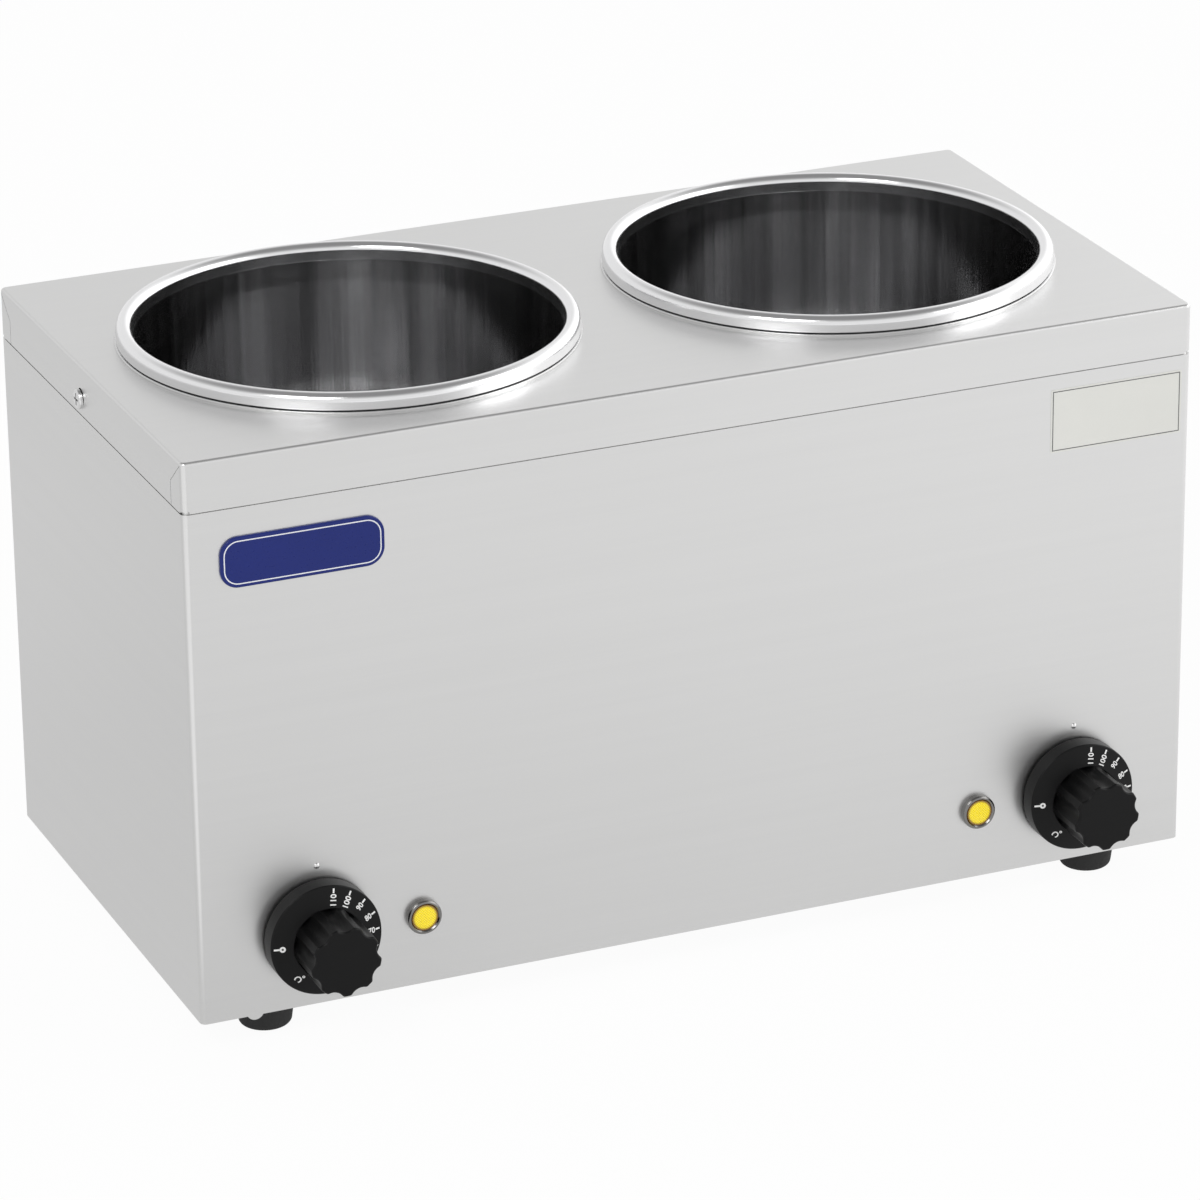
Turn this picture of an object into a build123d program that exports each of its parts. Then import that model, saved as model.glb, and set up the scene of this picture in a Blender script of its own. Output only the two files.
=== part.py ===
from build123d import *
import math
import os

os.makedirs("parts", exist_ok=True)

# Twin soup bain-marie: a bent sheet case with a flush cover, two water wells, two lift-out pots,
# two ring heating elements, two dial thermostats and two pilot lamps.
# Millimetres, +X to the right, +Y to the back, +Z up, standing on z = 0.
# The origin is the bottom centre of the whole object, so the case sits a little behind it.

# Case and cover
case_width = 520.0
case_depth = 267.0
case_height = 284.0
case_sheet = 1.0
case_corner_radius = 3.0
cover_sheet = 1.0
cover_flange_height = 25.0
cover_edge_radius = 1.6
seam_gap = 0.5
joggle_clearance = 0.2
joggle_overlap = 10.0
joggle_rise = 14.0
return_flange_width = 8.0
base_sheet = 1.0
base_plate_edge_gap = 0.5
foot_height = 16.0

# How far the knobs and the cable gland stand out of the case
knob_reach = 38.0
gland_reach = 22.0

# Corner seams pressed into the cover's side flanges
seam_tab_width = 15.0
seam_tab_drop = 13.0
seam_groove_width = 0.4
seam_groove_depth = 0.3
corner_relief_width = 3.6
corner_relief_height = 1.1

# Water wells
well_inward_shift = 3.0
well_sheet = 1.2
well_depth = 185.0
well_floor_radius = 14.0
well_lip_margin = 0.8
well_mouth_radius = 1.0
well_hole_clearance = 1.8

# Lift-out pots
pot_inner_radius = 104.0
pot_sheet = 0.9
pot_depth = 160.0
pot_floor_radius = 18.0
pot_neck_height = 14.0
pot_neck_step = 1.2
pot_step_height = 2.0
bead_radius = 4.0
bead_curl_degrees = 305.0
pot_seat_gap = 0.3
pot_side_gap = 1.6

# Ring heating elements
heater_tube_radius = 4.0
heater_ring_radius = 74.0
heater_bend_clearance = 1.5
heater_bend_radius = 12.0
heater_gap_degrees = 46.0
heater_stem_length = 34.0
bushing_fit = 0.05
bushing_thread_radius = 6.5
bushing_head_across = 19.0
bushing_head_height = 6.0
bushing_thread_length = 14.0
gasket_radius = 9.2
gasket_thickness = 1.5
bushing_nut_height = 5.0
bushing_hole_clearance = 0.3
terminal_bead_radius = 3.2
terminal_bead_height = 6.0
terminal_pin_radius = 1.5
terminal_pin_length = 9.0

# Thermostats, spindles and knobs
knob_edge_distance = 60.0
knob_height = 37.5
thermostat_width = 44.0
thermostat_tall = 38.0
thermostat_depth = 30.0
thermostat_plate_thickness = 1.5
thermostat_plate_height = 16.0
thermostat_plate_margin = 6.0
thermostat_edge_radius = 2.0
thermostat_blade_width = 6.3
thermostat_blade_thickness = 0.8
thermostat_blade_length = 9.0
thermostat_blade_pitch = 18.0
thermostat_screw_pitch = 28.0
spindle_radius = 3.0
spindle_fit = 0.05
spindle_flat_depth = 1.0
spindle_socket_depth = 12.0
spindle_hole_radius = 5.0
knob_panel_gap = 1.5
skirt_radius = 28.0
skirt_height = 9.2
skirt_wall = 2.0
skirt_edge_radius = 0.8
dial_inner_radius = 17.2
dial_rise = 2.6
grip_radius = 17.7
grip_lobes = 9
grip_scoop_radius = 6.0
grip_scoop_depth = 2.0
grip_lobe_fillet = 1.2
grip_edge_chamfer = 1.0
knob_hub_radius = 6.5
knob_hub_setback = 2.5
knob_socket_end_wall = 12.0

# Pilot lamps
lamp_knob_distance = 53.0
lamp_height = 35.7
lamp_bezel_radius = 8.7
lamp_bezel_reach = 3.6
lamp_bezel_chamfer = 1.0
lamp_lens_radius = 6.6
lamp_lens_dome = 0.5
lamp_lens_thickness = 3.0
lamp_barrel_radius = 6.0
lamp_barrel_length = 22.0
lamp_hole_clearance = 0.1
lamp_fit = 0.05
lamp_nut_across = 15.0
lamp_nut_height = 3.0
lamp_blade_width = 2.8
lamp_blade_thickness = 0.5
lamp_blade_length = 6.0
lamp_blade_pitch = 7.0

# Panel marks and plates
pip_height = 71.7
pip_radius = 1.6
label_width = 71.0
label_height = 32.5
label_edge_distance = 40.5
label_seam_distance = 24.2
label_thickness = 0.2
badge_width = 81.0
badge_height = 25.0
badge_edge_distance = 57.5
badge_seam_distance = 27.0
badge_thickness = 1.4
badge_corner_radius = 9.0
badge_edge_radius = 0.6
edge_tab_distance = 27.0
edge_tab_radius = 4.4
edge_tab_drop = 2.3

# Feet
foot_side_distance = 40.0
foot_end_distance = 23.5
foot_top_radius = 14.8
foot_bottom_radius = 13.0
foot_edge_radius = 3.0
foot_screw_radius = 2.5
foot_head_radius = 4.7
foot_head_height = 3.0
foot_head_depth = 6.0
foot_washer_radius = 6.0
foot_washer_thickness = 1.0
foot_nut_across = 8.0
foot_nut_height = 4.0
thread_clearance = 0.1

# Sheet metal screws
cover_screw_drop = 17.0
cover_screw_back = 11.0
cover_screw_radius = 2.4
cover_screw_head_radius = 4.9
cover_screw_head_height = 2.2
cover_screw_length = 10.0
cover_hole_radius = 4.6
cover_hole_offset = 1.0
cover_nut_radius = 4.2
cover_nut_height = 5.0
base_screw_radius = 1.5
base_screw_head_radius = 2.7
base_screw_head_height = 1.7
base_screw_length = 7.0
base_screw_end_distance = 110.0
base_screw_inset = 4.6
cross_slot_width = 1.0
cross_slot_depth = 1.2
cross_slot_share = 0.62
panel_screw_radius = 2.0
panel_screw_head_radius = 3.6
panel_screw_head_height = 2.2
panel_screw_length = 5.0

# Cable gland in the back wall
gland_height = 40.0
gland_bore_radius = 4.0
gland_cord_gap = 0.5
gland_thread_radius = 9.8
gland_hex_across = 24.0
gland_hex_height = 6.0
gland_thread_length = 11.0
gland_cap_radius = 11.4
gland_cap_nose_radius = 6.6
gland_cap_nose_height = 6.0
gland_cap_nose_wall = 4.0
gland_cap_edge_radius = 1.5
gland_seal_radius = 8.2
gland_locknut_across = 25.0
gland_locknut_height = 5.0

# Supply terminals on the base plate
block_width = 56.0
block_depth = 20.0
block_height = 17.0
block_back_distance = 61.5
block_poles = 3
block_pole_pitch = 14.0
block_pole_radius = 2.6
block_bore_radius = 2.8
block_screw_length = 5.0
block_edge_radius = 2.0
block_fixing_pitch = 46.0
block_fixing_radius = 1.5
block_fixing_head_radius = 2.8
block_fixing_head_height = 1.8
block_fixing_length = 22.0
earth_stud_radius = 2.5
earth_stud_length = 20.0
earth_stud_x = 52.0
earth_head_height = 1.6
earth_ring_thickness = 1.0
earth_ring_radius = 4.6
earth_barrel_radius = 1.9
earth_barrel_length = 6.0
earth_nut_across = 8.0
earth_nut_height = 4.0

# Capillary sensors on the well walls
bulb_radius = 3.0
bulb_length = 70.0
bulb_rise = 3.0
bulb_wall_gap = 0.05
bulb_turn_degrees = 62.0
bulb_neck_radius = 1.6
bulb_neck_length = 6.0
bulb_end_radius = 1.2
capillary_radius = 1.0
capillary_entry_rise = 9.0
clip_thickness = 0.8
clip_height = 10.0
clip_foot_length = 15.0
clip_inset = 12.0

# Push-on terminals, crimp sleeves and wires
push_on_wall = 0.6
push_on_fit = 0.1
push_on_start_gap = 1.0
push_on_tail = 4.0
sleeve_bore_radius = 2.7
sleeve_wall = 0.8
sleeve_overhang = 6.0
wire_radius = 1.3
wire_turn_radius = 8.0
wire_pair_gap = 0.1
wire_straight = 14.0
wire_bore_depth = 4.0
live_lane_z = 42.0
neutral_lane_z = 32.0
pin_lane_z = 54.0
spindle_end_gap = 0.3

base_z = foot_height
cover_z = base_z + case_height
seam_z = cover_z - cover_flange_height
shell_top_z = seam_z - seam_gap
base_plate_z = base_z + case_sheet
base_top_z = base_plate_z + base_sheet
case_mid_y = (knob_reach - gland_reach) / 2
front_y = case_mid_y - case_depth / 2
back_y = case_mid_y + case_depth / 2
front_inner_y = front_y + case_sheet
well_lip_z = cover_z + well_sheet
well_floor_z = cover_z - well_depth
bead_centre_z = well_lip_z + pot_seat_gap + bead_radius
bead_centre_radius = pot_inner_radius + bead_radius
well_inner_radius = pot_inner_radius + pot_sheet + pot_side_gap
well_lip_radius = bead_centre_radius + bead_radius + well_lip_margin
pot_floor_z = bead_centre_z + bead_radius - pot_depth
gasket_top_z = well_floor_z + gasket_thickness
heater_ring_z = gasket_top_z + bushing_head_height + heater_bend_clearance + heater_bend_radius
well_spacing = case_width / 2 - 2 * well_inward_shift
knob_spacing = case_width - 2 * knob_edge_distance
lamp_spacing = knob_spacing - 2 * lamp_knob_distance
foot_spacing_x = case_width - 2 * foot_side_distance
foot_spacing_y = case_depth - 2 * foot_end_distance
base_screw_pitch = case_width / 2 - base_screw_end_distance
base_screw_spacing_y = case_depth - 2 * base_screw_inset
block_y = back_y - block_back_distance
cover_screw_z = cover_z - cover_screw_drop
cover_screw_y = case_mid_y + cover_screw_back
well_places = {"left": -well_spacing / 2, "right": well_spacing / 2}
knob_places = {"left": -knob_spacing / 2, "right": knob_spacing / 2}
lamp_places = {"left": -lamp_spacing / 2, "right": lamp_spacing / 2}
knob_z = base_z + knob_height
lamp_z = base_z + lamp_height
foot_places = [
    (side * foot_spacing_x / 2, case_mid_y + end * foot_spacing_y / 2)
    for side in (-1, 1)
    for end in (-1, 1)
]
made = []


def keep(part, name):
    """Labels a finished piece and writes it to its own file."""
    part.label = name
    export_step(part, f"parts/{name}.step")
    made.append(name)


def facing_front(x, y, z):
    """Plane whose own z points out of the front panel, with x to the right and y up."""
    return Plane(origin=(x, y, z), x_dir=(1, 0, 0), z_dir=(0, -1, 0))


def facing_back(x, y, z):
    """Plane whose own z points out of the back wall, with y up."""
    return Plane(origin=(x, y, z), x_dir=(-1, 0, 0), z_dir=(0, 1, 0))


def front_section(x, y, z):
    """Plane through a front-facing axis: x is the radius and y the reach out of the panel."""
    return Plane(origin=(x, y, z), x_dir=(1, 0, 0), z_dir=(0, 0, -1))


def upright_section(x, y, z):
    """Plane through an upright axis: x is the radius and y the height."""
    return Plane(origin=(x, y, z), x_dir=(1, 0, 0), z_dir=(0, -1, 0))


def hex_radius(across_flats):
    """Corner radius of a hexagon of this size across its flats."""
    return across_flats / math.sqrt(3)


def run_tube(points, radius, turn_radius):
    """Adds a round rod to the open part along straight runs joined by tangent arcs."""
    with BuildLine() as route:
        FilletPolyline(*points, radius=turn_radius)
    with BuildSketch(Plane(origin=route.line @ 0, z_dir=route.line % 0)) as section:
        Circle(radius)
    sweep(sections=section.sketch, path=route.line)


# Housing shell: one bent wrapper with a joggled lip for the cover and a return flange below
with BuildPart() as housing_shell:
    with BuildSketch(Plane(origin=(0, case_mid_y, base_z))):
        RectangleRounded(case_width, case_depth, case_corner_radius)
        RectangleRounded(
            case_width - 2 * case_sheet,
            case_depth - 2 * case_sheet,
            case_corner_radius - case_sheet,
            mode=Mode.SUBTRACT,
        )
    extrude(amount=shell_top_z - base_z)
    with BuildSketch(Plane(origin=(0, case_mid_y, base_z))):
        RectangleRounded(
            case_width - case_sheet,
            case_depth - case_sheet,
            case_corner_radius - case_sheet / 2,
        )
        Rectangle(
            case_width - 2 * return_flange_width,
            case_depth - 2 * return_flange_width,
            mode=Mode.SUBTRACT,
        )
    extrude(amount=case_sheet)
    lip_inset = case_sheet + joggle_clearance
    with BuildSketch(Plane(origin=(0, case_mid_y, shell_top_z - joggle_overlap))):
        RectangleRounded(
            case_width - case_sheet,
            case_depth - case_sheet,
            case_corner_radius - case_sheet / 2,
        )
        Rectangle(
            case_width - 2 * (lip_inset + case_sheet),
            case_depth - 2 * (lip_inset + case_sheet),
            mode=Mode.SUBTRACT,
        )
    extrude(amount=joggle_overlap)
    with BuildSketch(Plane(origin=(0, case_mid_y, shell_top_z))):
        RectangleRounded(
            case_width - 2 * lip_inset,
            case_depth - 2 * lip_inset,
            case_corner_radius - case_sheet,
        )
        Rectangle(
            case_width - 2 * (lip_inset + case_sheet),
            case_depth - 2 * (lip_inset + case_sheet),
            mode=Mode.SUBTRACT,
        )
    extrude(amount=joggle_rise + seam_gap)
    # Openings for the spindles, their screws and the pilot lamps
    with BuildSketch(facing_front(0, front_y, knob_z)):
        for knob_x in knob_places.values():
            with Locations((knob_x, 0)):
                Circle(spindle_hole_radius)
            with Locations(
                (knob_x - thermostat_screw_pitch / 2, 0),
                (knob_x + thermostat_screw_pitch / 2, 0),
            ):
                Circle(panel_screw_radius + thread_clearance)
        for lamp_x in lamp_places.values():
            with Locations((lamp_x, lamp_height - knob_height)):
                Circle(lamp_barrel_radius + lamp_hole_clearance)
    extrude(amount=-case_sheet, mode=Mode.SUBTRACT)
    # Cable gland hole in the back wall
    with BuildSketch(facing_back(0, back_y, base_z + gland_height)):
        Circle(gland_thread_radius + thread_clearance)
    extrude(amount=-case_sheet, mode=Mode.SUBTRACT)
    # Cover screw holes through the lip
    with BuildSketch(Plane(origin=(0, cover_screw_y, cover_screw_z), z_dir=(1, 0, 0))):
        Circle(cover_screw_radius + thread_clearance)
    extrude(amount=case_width / 2, both=True, mode=Mode.SUBTRACT)
    # Base screw holes through the return flange
    with BuildSketch(Plane(origin=(0, case_mid_y, base_z))):
        with GridLocations(base_screw_pitch, base_screw_spacing_y, 3, 2):
            Circle(base_screw_radius + 2 * thread_clearance)
    extrude(amount=case_sheet, mode=Mode.SUBTRACT)
    # Pressed pips that the dials are read against
    for knob_x in knob_places.values():
        with Locations((knob_x, front_y + case_sheet / 2, base_z + pip_height)):
            Sphere(pip_radius)
    # Small half-round tab on the front wall's lower edge
    edge_tab_x = edge_tab_distance - case_width / 2
    with BuildSketch(facing_front(edge_tab_x, front_y, base_z + edge_tab_radius - edge_tab_drop)):
        Circle(edge_tab_radius)
    extrude(amount=-case_sheet)
keep(housing_shell.part, "housing_shell")

# Top cover: a flat sheet with two round openings and a flange folded down all round
with BuildPart() as top_cover:
    with BuildSketch(Plane(origin=(0, case_mid_y, seam_z))):
        RectangleRounded(case_width, case_depth, case_corner_radius)
    extrude(amount=cover_flange_height)
    fillet(top_cover.faces().sort_by(Axis.Z)[-1].edges(), cover_edge_radius)
    with BuildSketch(Plane(origin=(0, case_mid_y, seam_z))):
        RectangleRounded(
            case_width - 2 * cover_sheet,
            case_depth - 2 * cover_sheet,
            case_corner_radius - cover_sheet,
        )
    extrude(amount=cover_flange_height - cover_sheet, mode=Mode.SUBTRACT)
    with BuildSketch(Plane(origin=(0, case_mid_y, cover_z))):
        for well_x in well_places.values():
            with Locations((well_x, 0)):
                Circle(well_inner_radius + well_sheet + well_hole_clearance)
    extrude(amount=-cover_sheet, mode=Mode.SUBTRACT)
    # Oversize holes for the side screws, set a little up and forward of them
    with BuildSketch(
        Plane(
            origin=(0, cover_screw_y - cover_hole_offset, cover_screw_z + cover_hole_offset),
            z_dir=(1, 0, 0),
        )
    ):
        Circle(cover_hole_radius)
    extrude(amount=case_width / 2, both=True, mode=Mode.SUBTRACT)
    # Relief notches at the foot of the corners
    with BuildSketch(Plane(origin=(0, case_mid_y, seam_z))):
        with GridLocations(case_width, case_depth, 2, 2):
            Rectangle(2 * corner_relief_width, 2 * corner_relief_width)
    extrude(amount=corner_relief_height, mode=Mode.SUBTRACT)
    # Mitred tab seams on both side flanges, at the front and back corners
    mitre_length = math.hypot(seam_tab_width, seam_tab_drop)
    mitre_degrees = math.degrees(math.atan2(seam_tab_drop, seam_tab_width))
    for side in (-1, 1):
        with BuildSketch(
            Plane(
                origin=(side * case_width / 2, case_mid_y, cover_z),
                x_dir=(0, side, 0),
                z_dir=(side, 0, 0),
            )
        ):
            for end in (-1, 1):
                tab_x = end * (case_depth / 2 - seam_tab_width)
                with Locations((end * (case_depth / 2 - seam_tab_width / 2), -seam_tab_drop / 2)):
                    Rectangle(mitre_length, seam_groove_width, rotation=end * mitre_degrees)
                with Locations((tab_x, -(seam_tab_drop + cover_flange_height) / 2)):
                    Rectangle(seam_groove_width, cover_flange_height - seam_tab_drop)
        extrude(amount=-seam_groove_depth, mode=Mode.SUBTRACT)
keep(top_cover.part, "top_cover")

# Base plate: lies on the shell's return flange and carries the feet and the supply terminals
with BuildPart() as base_plate:
    plate_inset = case_sheet + base_plate_edge_gap
    with BuildSketch(Plane(origin=(0, case_mid_y, base_plate_z))):
        RectangleRounded(case_width - 2 * plate_inset, case_depth - 2 * plate_inset, case_corner_radius)
        with GridLocations(base_screw_pitch, base_screw_spacing_y, 3, 2):
            Circle(base_screw_radius + thread_clearance, mode=Mode.SUBTRACT)
        with GridLocations(foot_spacing_x, foot_spacing_y, 2, 2):
            Circle(foot_screw_radius + thread_clearance, mode=Mode.SUBTRACT)
        with Locations((earth_stud_x, block_y - case_mid_y)):
            Circle(earth_stud_radius + thread_clearance, mode=Mode.SUBTRACT)
        with Locations((0, block_y - case_mid_y)):
            with GridLocations(block_fixing_pitch, 0, 2, 1):
                Circle(block_fixing_radius + thread_clearance, mode=Mode.SUBTRACT)
    extrude(amount=base_sheet)
keep(base_plate.part, "base_plate")

# Water wells: deep drawn tanks whose lips lie on the cover
heater_half_gap = math.radians(heater_gap_degrees / 2)
gap_sine = math.sin(heater_half_gap)
gap_cosine = math.cos(heater_half_gap)
stem_offset_x = heater_ring_radius * gap_sine - heater_bend_radius * gap_cosine
stem_offset_y = -heater_ring_radius * gap_cosine - heater_bend_radius * gap_sine
well_outer_radius = well_inner_radius + well_sheet
well_corner = (well_inner_radius - well_floor_radius, well_floor_z + well_floor_radius)
for side, well_x in well_places.items():
    with BuildPart() as water_well:
        with BuildSketch(upright_section(well_x, case_mid_y, 0)):
            with BuildLine():
                outer_corner = CenterArc(well_corner, well_floor_radius + well_sheet, -90, 90)
                inner_corner = CenterArc(well_corner, well_floor_radius, 0, -90)
                mouth = CenterArc(
                    (well_inner_radius + well_mouth_radius, well_lip_z - well_mouth_radius),
                    well_mouth_radius,
                    90,
                    90,
                )
                Polyline(
                    outer_corner @ 1,
                    (well_outer_radius, cover_z),
                    (well_lip_radius, cover_z),
                    (well_lip_radius, well_lip_z),
                    mouth @ 0,
                )
                Line(mouth @ 1, inner_corner @ 0)
                Polyline(
                    inner_corner @ 1,
                    (0, well_floor_z),
                    (0, well_floor_z - well_sheet),
                    outer_corner @ 0,
                )
            make_face()
        revolve(axis=Axis((well_x, case_mid_y, 0), (0, 0, 1)))
        with BuildSketch(Plane(origin=(well_x, case_mid_y, well_floor_z))):
            with Locations((-stem_offset_x, stem_offset_y), (stem_offset_x, stem_offset_y)):
                Circle(bushing_thread_radius + bushing_hole_clearance)
        extrude(amount=-well_sheet, mode=Mode.SUBTRACT)
    keep(water_well.part, f"{side}_well")

# Lift-out pots: a curled bead that rests on the well's lip, a neck, a small step and a deep body
bead_centre = (bead_centre_radius, bead_centre_z)
curl_end = 180 - bead_curl_degrees
pot_outer_radius = pot_inner_radius + pot_sheet
pot_body_radius = pot_inner_radius - pot_neck_step
pot_corner = (pot_body_radius - pot_floor_radius, pot_floor_z + pot_floor_radius)
step_top_z = bead_centre_z - pot_neck_height
step_low_z = step_top_z - pot_step_height
for side, well_x in well_places.items():
    with BuildPart() as soup_pot:
        with BuildSketch(upright_section(well_x, case_mid_y, 0)):
            with BuildLine():
                outer_curl = CenterArc(bead_centre, bead_radius, 180, -bead_curl_degrees)
                inner_curl = CenterArc(bead_centre, bead_radius - pot_sheet, curl_end, bead_curl_degrees)
                outer_corner = CenterArc(pot_corner, pot_floor_radius + pot_sheet, 0, -90)
                inner_corner = CenterArc(pot_corner, pot_floor_radius, -90, 90)
                Line(outer_curl @ 1, inner_curl @ 0)
                Polyline(
                    inner_curl @ 1,
                    (pot_outer_radius, step_top_z),
                    (pot_body_radius + pot_sheet, step_low_z),
                    outer_corner @ 0,
                )
                Polyline(outer_corner @ 1, (0, pot_floor_z - pot_sheet), (0, pot_floor_z), inner_corner @ 0)
                Polyline(
                    inner_corner @ 1,
                    (pot_body_radius, step_low_z),
                    (pot_inner_radius, step_top_z),
                    outer_curl @ 0,
                )
            make_face()
        revolve(axis=Axis((well_x, case_mid_y, 0), (0, 0, 1)))
    keep(soup_pot.part, f"{side}_pot")

# Ring heating elements: a sheathed ring over the well's floor with two stems down through it
ring_start = -90 + heater_gap_degrees / 2
ring_sweep = 360 - heater_gap_degrees
stem_top_z = heater_ring_z - heater_bend_radius
stem_end_z = stem_top_z - heater_stem_length
for side, well_x in well_places.items():
    with BuildPart() as heater:
        for turn, bend_sense in ((ring_start, 1), (ring_start + ring_sweep, -1)):
            radial = Vector(1, 0, 0).rotate(Axis.Z, turn)
            ring_end = Plane(
                origin=(well_x, case_mid_y, heater_ring_z), x_dir=radial, z_dir=radial.rotate(Axis.Z, -90)
            )
            bend_centre = ring_end.from_local_coords((heater_ring_radius, -heater_bend_radius, 0))
            with BuildSketch(ring_end):
                with Locations((heater_ring_radius, 0)):
                    Circle(heater_tube_radius)
            revolve(axis=Axis(bend_centre, radial * bend_sense), revolution_arc=90)
        with BuildSketch(ring_end):
            with Locations((heater_ring_radius, 0)):
                Circle(heater_tube_radius)
        revolve(axis=Axis((well_x, case_mid_y, 0), (0, 0, -1)), revolution_arc=ring_sweep)
        with BuildSketch(Plane(origin=(well_x, case_mid_y, stem_top_z))):
            with Locations((-stem_offset_x, stem_offset_y), (stem_offset_x, stem_offset_y)):
                Circle(heater_tube_radius)
        extrude(amount=-heater_stem_length)
    keep(heater.part, f"{side}_heater")

# The four places where a heater stem goes down through a well's floor
stem_places = [
    (well_x + hand * stem_offset_x, case_mid_y + stem_offset_y)
    for well_x in well_places.values()
    for hand in (-1, 1)
]
well_under_z = well_floor_z - well_sheet

with BuildPart() as heater_gaskets:
    with BuildSketch(Plane.XY.offset(well_floor_z)):
        with Locations(*stem_places):
            Circle(gasket_radius)
            Circle(bushing_thread_radius + thread_clearance, mode=Mode.SUBTRACT)
    extrude(amount=gasket_thickness)
keep(heater_gaskets.part, "heater_gaskets")

with BuildPart() as heater_bushings:
    with BuildSketch(Plane.XY.offset(gasket_top_z)):
        with Locations(*stem_places):
            RegularPolygon(hex_radius(bushing_head_across), 6)
    extrude(amount=bushing_head_height)
    with BuildSketch(Plane.XY.offset(gasket_top_z)):
        with Locations(*stem_places):
            Circle(bushing_thread_radius)
    extrude(amount=-bushing_thread_length)
    with BuildSketch(Plane.XY.offset(gasket_top_z + bushing_head_height)):
        with Locations(*stem_places):
            Circle(heater_tube_radius + bushing_fit)
    extrude(amount=-(bushing_head_height + bushing_thread_length), mode=Mode.SUBTRACT)
keep(heater_bushings.part, "heater_bushings")

with BuildPart() as heater_nuts:
    with BuildSketch(Plane.XY.offset(well_under_z)):
        with Locations(*stem_places):
            RegularPolygon(hex_radius(bushing_head_across), 6)
            Circle(bushing_thread_radius + thread_clearance, mode=Mode.SUBTRACT)
    extrude(amount=-bushing_nut_height)
keep(heater_nuts.part, "heater_nuts")

with BuildPart() as heater_beads:
    with BuildSketch(Plane.XY.offset(stem_end_z)):
        with Locations(*stem_places):
            Circle(terminal_bead_radius)
            Circle(terminal_pin_radius + thread_clearance, mode=Mode.SUBTRACT)
    extrude(amount=-terminal_bead_height)
keep(heater_beads.part, "heater_beads")

with BuildPart() as heater_pins:
    with BuildSketch(Plane.XY.offset(stem_end_z)):
        with Locations(*stem_places):
            Circle(terminal_pin_radius)
    extrude(amount=-(terminal_bead_height + terminal_pin_length))
keep(heater_pins.part, "heater_pins")

# Thermostats: a moulded body with a mounting plate against the inside of the front panel
thermostat_back_y = front_inner_y + thermostat_plate_thickness + thermostat_depth
blade_z = knob_z - thermostat_blade_width
for side, knob_x in knob_places.items():
    with BuildPart() as thermostat:
        with BuildSketch(facing_front(knob_x, front_inner_y, knob_z)):
            Rectangle(thermostat_screw_pitch + 2 * thermostat_plate_margin, thermostat_plate_height)
        extrude(amount=-thermostat_plate_thickness)
        with BuildSketch(facing_front(knob_x, front_inner_y + thermostat_plate_thickness, knob_z)):
            RectangleRounded(thermostat_width, thermostat_tall, thermostat_edge_radius)
        extrude(amount=-thermostat_depth)
        with BuildSketch(facing_front(knob_x, front_inner_y, knob_z)):
            Circle(spindle_hole_radius - thread_clearance)
        extrude(amount=case_sheet)
        with BuildSketch(facing_front(knob_x, front_y, knob_z)):
            Circle(spindle_radius + spindle_fit)
        extrude(
            amount=-(case_sheet + thermostat_plate_thickness + spindle_socket_depth),
            mode=Mode.SUBTRACT,
        )
        with BuildSketch(facing_front(knob_x, front_inner_y, knob_z)):
            with Locations((-thermostat_screw_pitch / 2, 0), (thermostat_screw_pitch / 2, 0)):
                Circle(panel_screw_radius + thread_clearance)
        extrude(amount=-panel_screw_length, mode=Mode.SUBTRACT)
    keep(thermostat.part, f"{side}_thermostat")

with BuildPart() as thermostat_blades:
    for knob_x in knob_places.values():
        with BuildSketch(facing_back(knob_x, thermostat_back_y, blade_z)):
            with Locations((-thermostat_blade_pitch / 2, 0), (thermostat_blade_pitch / 2, 0)):
                Rectangle(thermostat_blade_thickness, thermostat_blade_width)
        extrude(amount=thermostat_blade_length)
keep(thermostat_blades.part, "thermostat_blades")

with BuildPart() as thermostat_screws:
    for knob_x in knob_places.values():
        with BuildSketch(facing_front(knob_x, front_y, knob_z)):
            with Locations((-thermostat_screw_pitch / 2, 0), (thermostat_screw_pitch / 2, 0)):
                Circle(panel_screw_head_radius)
        extrude(amount=panel_screw_head_height)
        with BuildSketch(facing_front(knob_x, front_y, knob_z)):
            with Locations((-thermostat_screw_pitch / 2, 0), (thermostat_screw_pitch / 2, 0)):
                Circle(panel_screw_radius)
        extrude(amount=-panel_screw_length)
keep(thermostat_screws.part, "thermostat_screws")

# Spindles: round inside the thermostat, flattened where they carry the knob
spindle_inner_end = case_sheet + thermostat_plate_thickness + spindle_socket_depth - spindle_end_gap
spindle_outer_end = knob_reach - knob_socket_end_wall - spindle_end_gap
for side, knob_x in knob_places.items():
    with BuildPart() as spindle:
        with BuildSketch(facing_front(knob_x, front_y, knob_z)):
            Circle(spindle_radius)
        extrude(amount=-spindle_inner_end)
        with BuildSketch(facing_front(knob_x, front_y, knob_z)):
            Circle(spindle_radius)
        extrude(amount=knob_hub_setback)
        with BuildSketch(facing_front(knob_x, front_y - knob_hub_setback, knob_z)):
            Circle(spindle_radius)
            with Locations((0, spindle_radius)):
                Rectangle(2 * spindle_radius, 2 * spindle_flat_depth, mode=Mode.SUBTRACT)
        extrude(amount=spindle_outer_end - knob_hub_setback)
    keep(spindle.part, f"{side}_spindle")

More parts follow.
